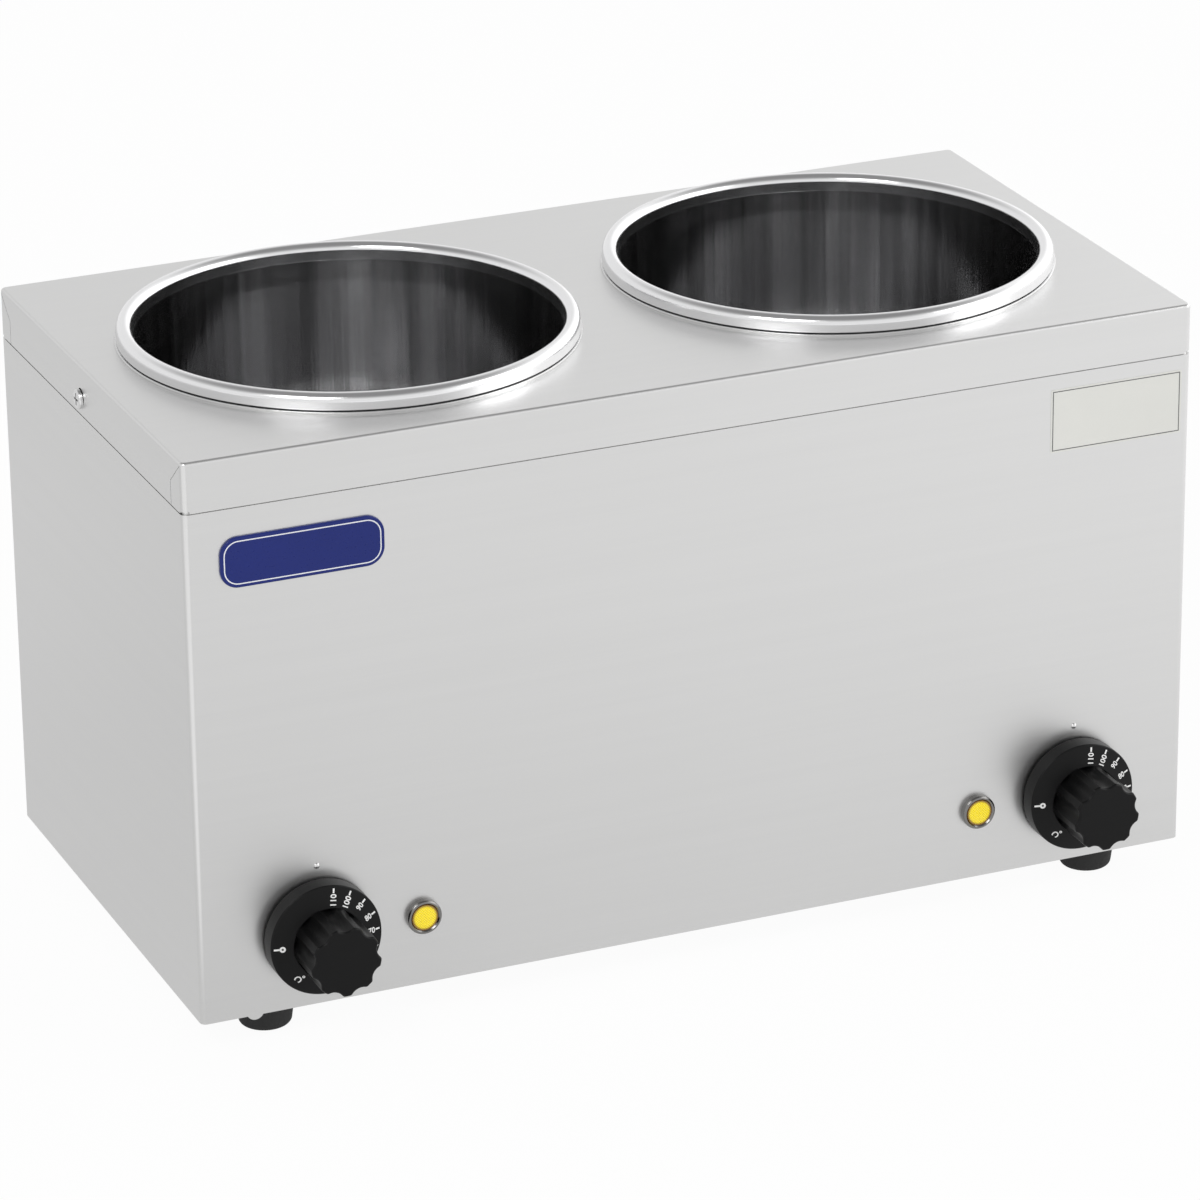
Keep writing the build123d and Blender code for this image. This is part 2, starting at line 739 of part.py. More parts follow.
# Knobs: a hollow skirt with a sloping dial face and a deep scalloped grip
skirt_top = knob_panel_gap + skirt_height
dial_top = skirt_top + dial_rise
skirt_ceiling = skirt_top - skirt_wall
for side, knob_x in knob_places.items():
    with BuildPart() as knob:
        with BuildSketch(front_section(knob_x, front_y, knob_z)) as knob_profile:
            with BuildLine():
                Polyline(
                    (0, knob_hub_setback),
                    (knob_hub_radius, knob_hub_setback),
                    (knob_hub_radius, skirt_ceiling),
                    (skirt_radius - skirt_wall, skirt_ceiling),
                    (skirt_radius - skirt_wall, knob_panel_gap),
                    (skirt_radius, knob_panel_gap),
                    (skirt_radius, skirt_top),
                    (dial_inner_radius, dial_top),
                    (dial_inner_radius, skirt_top),
                    (0, skirt_top),
                    close=True,
                )
            make_face()
            rim = knob_profile.vertices().sort_by_distance((skirt_radius, skirt_top))[0]
            fillet(rim, skirt_edge_radius)
        revolve(axis=Axis((knob_x, front_y, knob_z), (0, -1, 0)))
        with BuildSketch(facing_front(knob_x, front_y - skirt_top, knob_z)) as grip_outline:
            Circle(grip_radius)
            scoop_distance = grip_radius + grip_scoop_radius - grip_scoop_depth
            with PolarLocations(scoop_distance, grip_lobes, start_angle=90):
                Circle(grip_scoop_radius, mode=Mode.SUBTRACT)
            fillet(grip_outline.vertices(), grip_lobe_fillet)
        extrude(amount=knob_reach - skirt_top)
        chamfer(knob.faces().sort_by(Axis.Y)[0].edges(), grip_edge_chamfer)
        with BuildSketch(facing_front(knob_x, front_y - knob_hub_setback, knob_z)):
            Circle(spindle_radius + spindle_fit)
            with Locations((0, spindle_radius + spindle_fit)):
                Rectangle(2 * spindle_radius, 2 * spindle_flat_depth, mode=Mode.SUBTRACT)
        extrude(amount=knob_reach - knob_socket_end_wall - knob_hub_setback, mode=Mode.SUBTRACT)
    keep(knob.part, f"{side}_knob")

# Pilot lamps: a bright bezel and ribbed lens in front, a barrel through the panel, a nut behind
lamp_seat = lamp_bezel_reach - lamp_lens_thickness
dome_radius = (lamp_lens_radius**2 + lamp_lens_dome**2) / (2 * lamp_lens_dome)
dome_start = math.degrees(math.acos(lamp_lens_radius / dome_radius))
for side, lamp_x in lamp_places.items():
    lamp_axis = Axis((lamp_x, front_y, lamp_z), (0, -1, 0))
    with BuildPart() as lamp_bezel:
        with BuildSketch(front_section(lamp_x, front_y, lamp_z)) as bezel_profile:
            with BuildLine():
                Polyline(
                    (lamp_barrel_radius + lamp_fit, 0),
                    (lamp_bezel_radius, 0),
                    (lamp_bezel_radius, lamp_bezel_reach),
                    (lamp_lens_radius + lamp_fit, lamp_bezel_reach),
                    (lamp_lens_radius + lamp_fit, lamp_seat),
                    (lamp_barrel_radius + lamp_fit, lamp_seat),
                    close=True,
                )
            make_face()
            rim = bezel_profile.vertices().sort_by_distance((lamp_bezel_radius, lamp_bezel_reach))[0]
            fillet(rim, lamp_bezel_chamfer)
        revolve(axis=lamp_axis)
    keep(lamp_bezel.part, f"{side}_lamp_bezel")
    with BuildPart() as lamp_lens:
        with BuildSketch(front_section(lamp_x, front_y, lamp_z)):
            with BuildLine():
                dome_centre = (0, lamp_bezel_reach - dome_radius)
                dome = CenterArc(dome_centre, dome_radius, dome_start, 90 - dome_start)
                Polyline(dome @ 1, (0, lamp_seat), (lamp_lens_radius, lamp_seat), dome @ 0)
            make_face()
        revolve(axis=lamp_axis)
    keep(lamp_lens.part, f"{side}_lamp_lens")

with BuildPart() as lamp_barrels:
    with BuildSketch(facing_front(0, front_y - lamp_seat, lamp_z)):
        for lamp_x in lamp_places.values():
            with Locations((lamp_x, 0)):
                Circle(lamp_barrel_radius)
    extrude(amount=-(lamp_barrel_length + lamp_seat))
keep(lamp_barrels.part, "lamp_barrels")

with BuildPart() as lamp_nuts:
    with BuildSketch(facing_front(0, front_inner_y, lamp_z)):
        for lamp_x in lamp_places.values():
            with Locations((lamp_x, 0)):
                RegularPolygon(hex_radius(lamp_nut_across), 6)
                Circle(lamp_barrel_radius + thread_clearance, mode=Mode.SUBTRACT)
    extrude(amount=-lamp_nut_height)
keep(lamp_nuts.part, "lamp_nuts")

lamp_back_y = front_y + lamp_barrel_length
with BuildPart() as lamp_blades:
    with BuildSketch(facing_back(0, lamp_back_y, lamp_z)):
        for lamp_x in lamp_places.values():
            with Locations((-lamp_x - lamp_blade_pitch / 2, 0), (-lamp_x + lamp_blade_pitch / 2, 0)):
                Rectangle(lamp_blade_thickness, lamp_blade_width)
    extrude(amount=lamp_blade_length)
keep(lamp_blades.part, "lamp_blades")

# Plain label and plain badge on the front panel
label_x = case_width / 2 - label_edge_distance
badge_x = badge_edge_distance - case_width / 2
with BuildPart() as blank_label:
    with BuildSketch(facing_front(label_x, front_y, seam_z - label_seam_distance)):
        Rectangle(label_width, label_height)
    extrude(amount=label_thickness)
keep(blank_label.part, "blank_label")

with BuildPart() as badge_plate:
    with BuildSketch(facing_front(badge_x, front_y, seam_z - badge_seam_distance)):
        RectangleRounded(badge_width, badge_height, badge_corner_radius)
    extrude(amount=badge_thickness)
    fillet(badge_plate.faces().sort_by(Axis.Y)[0].edges(), badge_edge_radius)
keep(badge_plate.part, "badge_plate")

# Feet and what fastens them
with BuildPart() as rubber_feet:
    for foot_x, foot_y in foot_places:
        with BuildSketch(upright_section(foot_x, foot_y, 0)) as foot_profile:
            with BuildLine():
                Polyline(
                    (foot_head_radius + thread_clearance, 0),
                    (foot_bottom_radius, 0),
                    (foot_top_radius, base_plate_z),
                    (foot_screw_radius + thread_clearance, base_plate_z),
                    (foot_screw_radius + thread_clearance, foot_head_depth),
                    (foot_head_radius + thread_clearance, foot_head_depth),
                    close=True,
                )
            make_face()
            rim = foot_profile.vertices().sort_by_distance((foot_bottom_radius, 0))[0]
            fillet(rim, foot_edge_radius)
        revolve(axis=Axis((foot_x, foot_y, 0), (0, 0, 1)))
keep(rubber_feet.part, "rubber_feet")

with BuildPart() as foot_screws:
    with BuildSketch(Plane.XY.offset(foot_head_depth)):
        with Locations(*foot_places):
            Circle(foot_head_radius)
    extrude(amount=-foot_head_height)
    with BuildSketch(Plane.XY.offset(foot_head_depth)):
        with Locations(*foot_places):
            Circle(foot_screw_radius)
    extrude(amount=base_top_z + foot_washer_thickness + foot_nut_height + case_sheet - foot_head_depth)
keep(foot_screws.part, "foot_screws")

with BuildPart() as foot_washers:
    with BuildSketch(Plane.XY.offset(base_top_z)):
        with Locations(*foot_places):
            Circle(foot_washer_radius)
            Circle(foot_screw_radius + thread_clearance, mode=Mode.SUBTRACT)
    extrude(amount=foot_washer_thickness)
keep(foot_washers.part, "foot_washers")

with BuildPart() as foot_nuts:
    with BuildSketch(Plane.XY.offset(base_top_z + foot_washer_thickness)):
        with Locations(*foot_places):
            RegularPolygon(hex_radius(foot_nut_across), 6)
            Circle(foot_screw_radius + thread_clearance, mode=Mode.SUBTRACT)
    extrude(amount=foot_nut_height)
keep(foot_nuts.part, "foot_nuts")

# Screws through the cover's side flanges and their clinch nuts inside the lip
lip_inner_x = case_width / 2 - lip_inset - case_sheet
with BuildPart() as cover_screws:
    for side in (-1, 1):
        outward = Plane(
            origin=(side * case_width / 2, cover_screw_y, cover_screw_z),
            x_dir=(0, side, 0),
            z_dir=(side, 0, 0),
        )
        with BuildSketch(outward):
            Circle(cover_screw_head_radius)
        extrude(amount=cover_screw_head_height)
        with BuildSketch(outward):
            Circle(cover_screw_radius)
        extrude(amount=-cover_screw_length)
        with BuildSketch(outward.offset(cover_screw_head_height)):
            cross_length = 2 * cover_screw_head_radius * cross_slot_share
            Rectangle(cross_length, cross_slot_width)
            Rectangle(cross_slot_width, cross_length)
        extrude(amount=-cross_slot_depth, mode=Mode.SUBTRACT)
    head_rims = (
        cover_screws.edges()
        .filter_by(GeomType.CIRCLE)
        .filter_by(lambda rim: abs(rim.center().X) > case_width / 2 + cover_screw_head_height - seam_gap)
        .filter_by(lambda rim: rim.radius > cover_screw_radius + case_sheet)
    )
    fillet(head_rims, cover_screw_head_height / 2)
keep(cover_screws.part, "cover_screws")

with BuildPart() as cover_nuts:
    for side in (-1, 1):
        nut_seat = Plane(origin=(side * lip_inner_x, cover_screw_y, cover_screw_z), z_dir=(-side, 0, 0))
        with BuildSketch(nut_seat):
            Circle(cover_nut_radius)
            Circle(cover_screw_radius + thread_clearance, mode=Mode.SUBTRACT)
        extrude(amount=cover_nut_height)
keep(cover_nuts.part, "cover_nuts")

with BuildPart() as base_screws:
    with BuildSketch(Plane(origin=(0, case_mid_y, base_z))):
        with GridLocations(base_screw_pitch, base_screw_spacing_y, 3, 2):
            Circle(base_screw_head_radius)
    extrude(amount=-base_screw_head_height)
    with BuildSketch(Plane(origin=(0, case_mid_y, base_z))):
        with GridLocations(base_screw_pitch, base_screw_spacing_y, 3, 2):
            Circle(base_screw_radius)
    extrude(amount=base_screw_length)
keep(base_screws.part, "base_screws")

# Cable gland: threaded body and hexagon, sealing sleeve, domed cap and the locknut inside
gland_z = base_z + gland_height
gland_axis = Axis((0, back_y, gland_z), (0, 1, 0))
gland_section = Plane(origin=(0, back_y, gland_z), x_dir=(1, 0, 0), z_dir=(0, 0, 1))
seal_end = gland_reach - gland_cap_nose_wall
with BuildPart() as cable_gland:
    with BuildSketch(facing_back(0, back_y, gland_z)):
        RegularPolygon(hex_radius(gland_hex_across), 6)
    extrude(amount=gland_hex_height)
    with BuildSketch(facing_back(0, back_y, gland_z)):
        Circle(gland_thread_radius)
    extrude(amount=-gland_thread_length)
    with BuildSketch(facing_back(0, back_y + gland_hex_height, gland_z)):
        Circle(gland_seal_radius + thread_clearance)
    extrude(amount=-(gland_hex_height + gland_thread_length), mode=Mode.SUBTRACT)
keep(cable_gland.part, "cable_gland")

with BuildPart() as gland_seal:
    with BuildSketch(facing_back(0, back_y, gland_z)):
        Circle(gland_seal_radius)
        Circle(gland_bore_radius, mode=Mode.SUBTRACT)
    extrude(amount=seal_end)
keep(gland_seal.part, "gland_seal")

with BuildPart() as gland_cap:
    with BuildSketch(gland_section) as cap_profile:
        with BuildLine():
            Polyline(
                (gland_seal_radius + thread_clearance, gland_hex_height + thread_clearance),
                (gland_cap_radius, gland_hex_height + thread_clearance),
                (gland_cap_radius, gland_reach - gland_cap_nose_height),
                (gland_cap_nose_radius, gland_reach),
                (gland_bore_radius + gland_cord_gap, gland_reach),
                (gland_bore_radius + gland_cord_gap, seal_end + thread_clearance),
                (gland_seal_radius + thread_clearance, seal_end + thread_clearance),
                close=True,
            )
        make_face()
        shoulder_corner = (gland_cap_radius, gland_reach - gland_cap_nose_height)
        shoulder = cap_profile.vertices().sort_by_distance(shoulder_corner)[0]
        fillet(shoulder, gland_cap_edge_radius)
    revolve(axis=gland_axis)
keep(gland_cap.part, "gland_cap")

with BuildPart() as gland_locknut:
    with BuildSketch(facing_back(0, back_y - case_sheet, gland_z)):
        RegularPolygon(hex_radius(gland_locknut_across), 6)
        Circle(gland_thread_radius + thread_clearance, mode=Mode.SUBTRACT)
    extrude(amount=-gland_locknut_height)
keep(gland_locknut.part, "gland_locknut")

# Terminal block and earth stud on the base plate
pole_z = base_top_z + block_height / 2
pole_places = [(pole - (block_poles - 1) / 2) * block_pole_pitch for pole in range(block_poles)]
with BuildPart() as terminal_block:
    with BuildSketch(Plane(origin=(0, block_y, base_top_z))):
        RectangleRounded(block_width, block_depth, block_edge_radius)
    extrude(amount=block_height)
    with BuildSketch(facing_front(0, block_y, pole_z)):
        for pole_x in pole_places:
            with Locations((pole_x, 0)):
                Circle(block_bore_radius)
    extrude(amount=block_depth, both=True, mode=Mode.SUBTRACT)
    with BuildSketch(Plane(origin=(0, block_y, base_top_z + block_height))):
        for pole_x in pole_places:
            with Locations((pole_x, 0)):
                Circle(block_pole_radius)
    extrude(amount=-block_height / 2, mode=Mode.SUBTRACT)
    with BuildSketch(Plane(origin=(0, block_y, base_top_z))):
        with GridLocations(block_fixing_pitch, 0, 2, 1):
            Circle(block_fixing_radius + thread_clearance)
    extrude(amount=block_height, mode=Mode.SUBTRACT)
keep(terminal_block.part, "terminal_block")

with BuildPart() as block_fixings:
    with BuildSketch(Plane(origin=(0, block_y, base_top_z + block_height))):
        with GridLocations(block_fixing_pitch, 0, 2, 1):
            Circle(block_fixing_head_radius)
    extrude(amount=block_fixing_head_height)
    with BuildSketch(Plane(origin=(0, block_y, base_top_z + block_height))):
        with GridLocations(block_fixing_pitch, 0, 2, 1):
            Circle(block_fixing_radius)
    extrude(amount=-block_fixing_length)
keep(block_fixings.part, "block_fixings")

with BuildPart() as block_screws:
    with BuildSketch(Plane(origin=(0, block_y, pole_z + wire_radius))):
        for pole_x in pole_places:
            with Locations((pole_x, 0)):
                Circle(block_pole_radius - thread_clearance)
    extrude(amount=block_screw_length)
keep(block_screws.part, "block_screws")

earth_ring_z = base_top_z + earth_nut_height
with BuildPart() as earth_stud:
    with BuildSketch(Plane(origin=(earth_stud_x, block_y, base_plate_z))):
        RegularPolygon(hex_radius(earth_nut_across), 6)
    extrude(amount=-earth_head_height)
    with BuildSketch(Plane(origin=(earth_stud_x, block_y, base_plate_z))):
        Circle(earth_stud_radius)
    extrude(amount=earth_stud_length)
keep(earth_stud.part, "earth_stud")

with BuildPart() as earth_nuts:
    for nut_z in (base_top_z, earth_ring_z + earth_ring_thickness):
        with BuildSketch(Plane(origin=(earth_stud_x, block_y, nut_z))):
            RegularPolygon(hex_radius(earth_nut_across), 6)
            Circle(earth_stud_radius + thread_clearance, mode=Mode.SUBTRACT)
        extrude(amount=earth_nut_height)
keep(earth_nuts.part, "earth_nuts")

with BuildPart() as earth_ring:
    with BuildSketch(Plane(origin=(earth_stud_x, block_y, earth_ring_z))):
        Circle(earth_ring_radius)
        with Locations((0, -earth_ring_radius)):
            Rectangle(2 * earth_barrel_radius, earth_ring_radius)
        Circle(earth_stud_radius + thread_clearance, mode=Mode.SUBTRACT)
    extrude(amount=earth_ring_thickness)
    barrel_y = block_y - 3 * earth_ring_radius / 2
    barrel_z = earth_ring_z + earth_ring_thickness / 2
    with BuildSketch(facing_front(earth_stud_x, barrel_y, barrel_z)):
        Circle(earth_barrel_radius)
    extrude(amount=earth_barrel_length)
keep(earth_ring.part, "earth_ring")

# Capillary sensors: a bulb clipped to each well's wall and a thin tube to its thermostat
bulb_bottom_z = well_floor_z + well_floor_radius + bulb_rise
bulb_distance = well_outer_radius + bulb_wall_gap + bulb_radius
bulb_reach_x = well_spacing / 2 + bulb_distance * math.cos(math.radians(bulb_turn_degrees))
bulb_y = case_mid_y - bulb_distance * math.sin(math.radians(bulb_turn_degrees))
with BuildPart() as capillary_bulbs:
    with BuildSketch(Plane(origin=(0, bulb_y, bulb_bottom_z))):
        with GridLocations(2 * bulb_reach_x, 0, 2, 1):
            Circle(bulb_radius)
    extrude(amount=bulb_length)
    fillet(capillary_bulbs.edges().filter_by(GeomType.CIRCLE), bulb_end_radius)
    with BuildSketch(Plane(origin=(0, bulb_y, bulb_bottom_z))):
        with GridLocations(2 * bulb_reach_x, 0, 2, 1):
            Circle(bulb_neck_radius)
    extrude(amount=-bulb_neck_length)
keep(capillary_bulbs.part, "capillary_bulbs")

with BuildPart() as capillary_tubes:
    neck_z = bulb_bottom_z - bulb_neck_length
    entry_z = knob_z + capillary_entry_rise
    for hand in (-1, 1):
        run_tube(
            [
                (hand * bulb_reach_x, bulb_y, neck_z),
                (hand * bulb_reach_x, bulb_y, neck_z - 2 * wire_straight),
                (hand * knob_spacing / 2, thermostat_back_y + 2 * wire_straight, entry_z + wire_straight),
                (hand * knob_spacing / 2, thermostat_back_y + wire_straight, entry_z),
                (hand * knob_spacing / 2, thermostat_back_y, entry_z),
            ],
            capillary_radius,
            wire_turn_radius,
        )
keep(capillary_tubes.part, "capillary_tubes")

with BuildPart() as bulb_clips:
    for well_x in well_places.values():
        hand = math.copysign(1, well_x)
        outward = Vector(hand, 0, 0).rotate(Axis.Z, -hand * bulb_turn_degrees)
        for clip_z in (bulb_bottom_z + clip_inset, bulb_bottom_z + bulb_length - clip_inset - clip_height):
            with BuildSketch(Plane(origin=(well_x, case_mid_y, clip_z), x_dir=outward)):
                with Locations((bulb_distance, 0)):
                    Circle(bulb_radius + thread_clearance + clip_thickness)
                Circle(well_outer_radius + clip_thickness)
                with Locations((bulb_distance, 0)):
                    Rectangle(2 * bulb_radius + 2 * clip_thickness, clip_foot_length, mode=Mode.INTERSECT)
                Circle(well_outer_radius, mode=Mode.SUBTRACT)
                with Locations((bulb_distance, 0)):
                    Circle(bulb_radius + thread_clearance, mode=Mode.SUBTRACT)
            extrude(amount=clip_height)
keep(bulb_clips.part, "bulb_clips")

# Push-on terminals over the blades, each with a solid tail that its wire leaves
thermostat_tail_y = thermostat_back_y + thermostat_blade_length + push_on_tail
lamp_tail_y = lamp_back_y + lamp_blade_length + push_on_tail
blade_rows = [
    (knob_x, thermostat_back_y, blade_z, thermostat_blade_pitch, thermostat_blade_thickness,
     thermostat_blade_width, thermostat_blade_length)
    for knob_x in knob_places.values()
]
blade_rows += [
    (lamp_x, lamp_back_y, lamp_z, lamp_blade_pitch, lamp_blade_thickness, lamp_blade_width, lamp_blade_length)
    for lamp_x in lamp_places.values()
]
with BuildPart() as push_on_terminals:
    for row_x, row_y, row_z, pitch, thickness, width, length in blade_rows:
        with BuildSketch(facing_back(row_x, row_y + push_on_start_gap, row_z)):
            with GridLocations(pitch, 0, 2, 1):
                wall_twice = 2 * (push_on_wall + push_on_fit)
                Rectangle(thickness + wall_twice, width + wall_twice)
        extrude(amount=length + push_on_tail - push_on_start_gap)
        with BuildSketch(facing_back(row_x, row_y + push_on_start_gap, row_z)):
            with GridLocations(pitch, 0, 2, 1):
                Rectangle(thickness + 2 * push_on_fit, width + 2 * push_on_fit)
        extrude(amount=length - push_on_start_gap + push_on_fit, mode=Mode.SUBTRACT)
keep(push_on_terminals.part, "push_on_terminals")

# Crimp sleeves round the heater pins and the two wires that meet each of them
pin_end_z = stem_end_z - terminal_bead_height - terminal_pin_length
with BuildPart() as crimp_sleeves:
    with BuildSketch(Plane.XY.offset(stem_end_z - terminal_bead_height)):
        with Locations(*stem_places):
            Circle(sleeve_bore_radius + sleeve_wall)
            Circle(sleeve_bore_radius, mode=Mode.SUBTRACT)
    extrude(amount=-(terminal_pin_length + sleeve_overhang))
keep(crimp_sleeves.part, "crimp_sleeves")

# Wires, each side's pair leaving a pole side by side
pair_offset = wire_radius + wire_pair_gap / 2
pin_y = case_mid_y + stem_offset_y
wire_start_y = block_y - block_depth / 2 + wire_bore_depth
live_x, neutral_x, earth_x = pole_places
with BuildPart() as live_wires:
    for hand in (-1, 1):
        start_x = live_x + hand * pair_offset
        blade_x = hand * (knob_spacing + thermostat_blade_pitch) / 2
        bore_y = wire_start_y - wire_straight
        run_tube(
            [
                (start_x, wire_start_y, pole_z),
                (start_x, bore_y, pole_z),
                (start_x, bore_y - wire_straight / 2, live_lane_z),
                (blade_x, thermostat_tail_y + 2 * wire_straight, blade_z),
                (blade_x, thermostat_tail_y, blade_z),
            ],
            wire_radius,
            wire_turn_radius,
        )
keep(live_wires.part, "live_wires")

with BuildPart() as switched_wires:
    for hand in (-1, 1):
        blade_x = hand * (knob_spacing - thermostat_blade_pitch) / 2
        pin_x = hand * (well_spacing / 2 + stem_offset_x)
        run_tube(
            [
                (blade_x, thermostat_tail_y, blade_z),
                (blade_x, thermostat_tail_y + wire_straight, blade_z),
                (pin_x, pin_y + pair_offset, pin_lane_z),
                (pin_x, pin_y + pair_offset, pin_end_z),
            ],
            wire_radius,
            wire_turn_radius,
        )
keep(switched_wires.part, "switched_wires")

with BuildPart() as neutral_wires:
    for hand in (-1, 1):
        start_x = neutral_x + hand * pair_offset
        pin_x = hand * (well_spacing / 2 - stem_offset_x)
        run_tube(
            [
                (start_x, wire_start_y, pole_z),
                (start_x, wire_start_y - 2 * wire_straight, pole_z),
                (pin_x, pin_y + pair_offset, neutral_lane_z),
                (pin_x, pin_y + pair_offset, pin_end_z),
            ],
            wire_radius,
            wire_turn_radius,
        )
keep(neutral_wires.part, "neutral_wires")

with BuildPart() as lamp_wires:
    for hand in (-1, 1):
        for outward in (-1, 1):
            blade_x = hand * (lamp_spacing + outward * lamp_blade_pitch) / 2
            pin_x = hand * (well_spacing / 2 + outward * stem_offset_x)
            run_tube(
                [
                    (blade_x, lamp_tail_y, lamp_z),
                    (blade_x, lamp_tail_y + wire_straight / 2, lamp_z),
                    (pin_x, pin_y - pair_offset, pin_lane_z),
                    (pin_x, pin_y - pair_offset, pin_end_z),
                ],
                wire_radius,
                wire_turn_radius,
            )
keep(lamp_wires.part, "lamp_wires")

with BuildPart() as earth_wire:
    barrel_end_y = barrel_y - earth_barrel_length
    run_tube(
        [
            (earth_x, wire_start_y, pole_z),
            (earth_x, wire_start_y - wire_straight, pole_z),
            (earth_stud_x, barrel_end_y - wire_straight, barrel_z),
            (earth_stud_x, barrel_end_y, barrel_z),
        ],
        wire_radius,
        wire_turn_radius / 2,
    )
keep(earth_wire.part, "earth_wire")

print(len(made), "parts:", ", ".join(made))
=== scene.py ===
"""Looks of a twin soup bain-marie: satin case, mirror pots, dial knobs and pilot lamps."""
import logging
import math
from collections.abc import Iterable, Sequence
from dataclasses import dataclass
from enum import Enum
from typing import Any, Union

import bmesh
import bpy
from mathutils import Matrix, Vector


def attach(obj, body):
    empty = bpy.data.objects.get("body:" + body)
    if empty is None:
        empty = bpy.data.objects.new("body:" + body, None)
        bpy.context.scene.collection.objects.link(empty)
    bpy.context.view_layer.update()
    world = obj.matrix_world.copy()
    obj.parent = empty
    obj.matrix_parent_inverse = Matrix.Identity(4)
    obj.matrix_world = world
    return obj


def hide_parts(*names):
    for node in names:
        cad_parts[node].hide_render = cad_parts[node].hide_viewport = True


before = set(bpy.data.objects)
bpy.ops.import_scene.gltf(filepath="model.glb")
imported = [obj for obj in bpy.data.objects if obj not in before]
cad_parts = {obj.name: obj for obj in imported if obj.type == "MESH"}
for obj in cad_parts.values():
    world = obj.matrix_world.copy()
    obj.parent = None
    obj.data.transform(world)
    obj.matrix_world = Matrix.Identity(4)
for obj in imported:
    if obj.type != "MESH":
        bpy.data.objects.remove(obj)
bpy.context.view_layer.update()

MM = 0.001
WELD = 2e-6
BEND_DEGREES = 32.0
FONT_THICKENING = 0.022
FONT_FACETS = 3
FONT_WELD = 1e-5

log = logging.getLogger("bain_marie")

Colour = tuple[float, float, float]
Amount = Union["Wire", float]
Shape = bmesh.types.BMesh


class Side(Enum):
    """The two halves of the bain-marie, each with its pot, knob and lamp."""

    LEFT = -1
    RIGHT = 1

    @property
    def word(self) -> str:
        """The side's name as the CAD nodes spell it."""
        return self.name.lower()


class Body(Enum):
    """The bodies that pieces ride on."""

    CASE = "case"
    LEFT_CONTROL = "left_control"
    RIGHT_CONTROL = "right_control"
    LEFT_LIFT_POT = "left_lift_pot"
    RIGHT_LIFT_POT = "right_lift_pot"


# --------------------------------------------------------------------------- shader maths


class Wire:
    """An output in a finish's node tree that Python's operators work on."""

    def __init__(self, recipe: "Recipe", socket: bpy.types.NodeSocket) -> None:
        """Keeps the output.

        Args:
            recipe: The node tree that the output is in.
            socket: The output itself.
        """
        self.recipe = recipe
        self.socket = socket

    def _math(self, operation: str, first: Amount, second: Amount = 0.0) -> "Wire":
        """Adds one Math node.

        Args:
            operation: The node's operation.
            first: Its first value.
            second: Its second value.

        Returns:
            The result.
        """
        return self.recipe.node("ShaderNodeMath", {"operation": operation}, {0: first, 1: second})

    def __add__(self, other: Amount) -> "Wire":
        """Sum."""
        return self._math("ADD", self, other)

    def __radd__(self, other: Amount) -> "Wire":
        """Sum, reflected."""
        return self._math("ADD", other, self)

    def __sub__(self, other: Amount) -> "Wire":
        """Difference."""
        return self._math("SUBTRACT", self, other)

    def __rsub__(self, other: Amount) -> "Wire":
        """Difference, reflected."""
        return self._math("SUBTRACT", other, self)

    def __mul__(self, other: Amount) -> "Wire":
        """Product."""
        return self._math("MULTIPLY", self, other)

    def __rmul__(self, other: Amount) -> "Wire":
        """Product, reflected."""
        return self._math("MULTIPLY", other, self)

    def __truediv__(self, other: Amount) -> "Wire":
        """Quotient."""
        return self._math("DIVIDE", self, other)

    def __abs__(self) -> "Wire":
        """Distance from nought."""
        return self._math("ABSOLUTE", self)

    def above(self, level: float) -> "Wire":
        """One where the value passes a level, and nought elsewhere."""
        return self._math("GREATER_THAN", self, level)

    def root(self) -> "Wire":
        """Square root."""
        return self._math("SQRT", self)

    def fraction(self) -> "Wire":
        """What is left above the whole number below."""
        return self._math("FRACT", self)

    def larger(self, other: Amount) -> "Wire":
        """The larger of two values."""
        return self._math("MAXIMUM", self, other)

    def step(self, low: float, high: float) -> "Wire":
        """Rises smoothly from nought to one between two levels."""
        return self.recipe.node(
            "ShaderNodeMapRange",
            {"interpolation_type": "SMOOTHSTEP"},
            {"Value": self, "From Min": low, "From Max": high},
        )


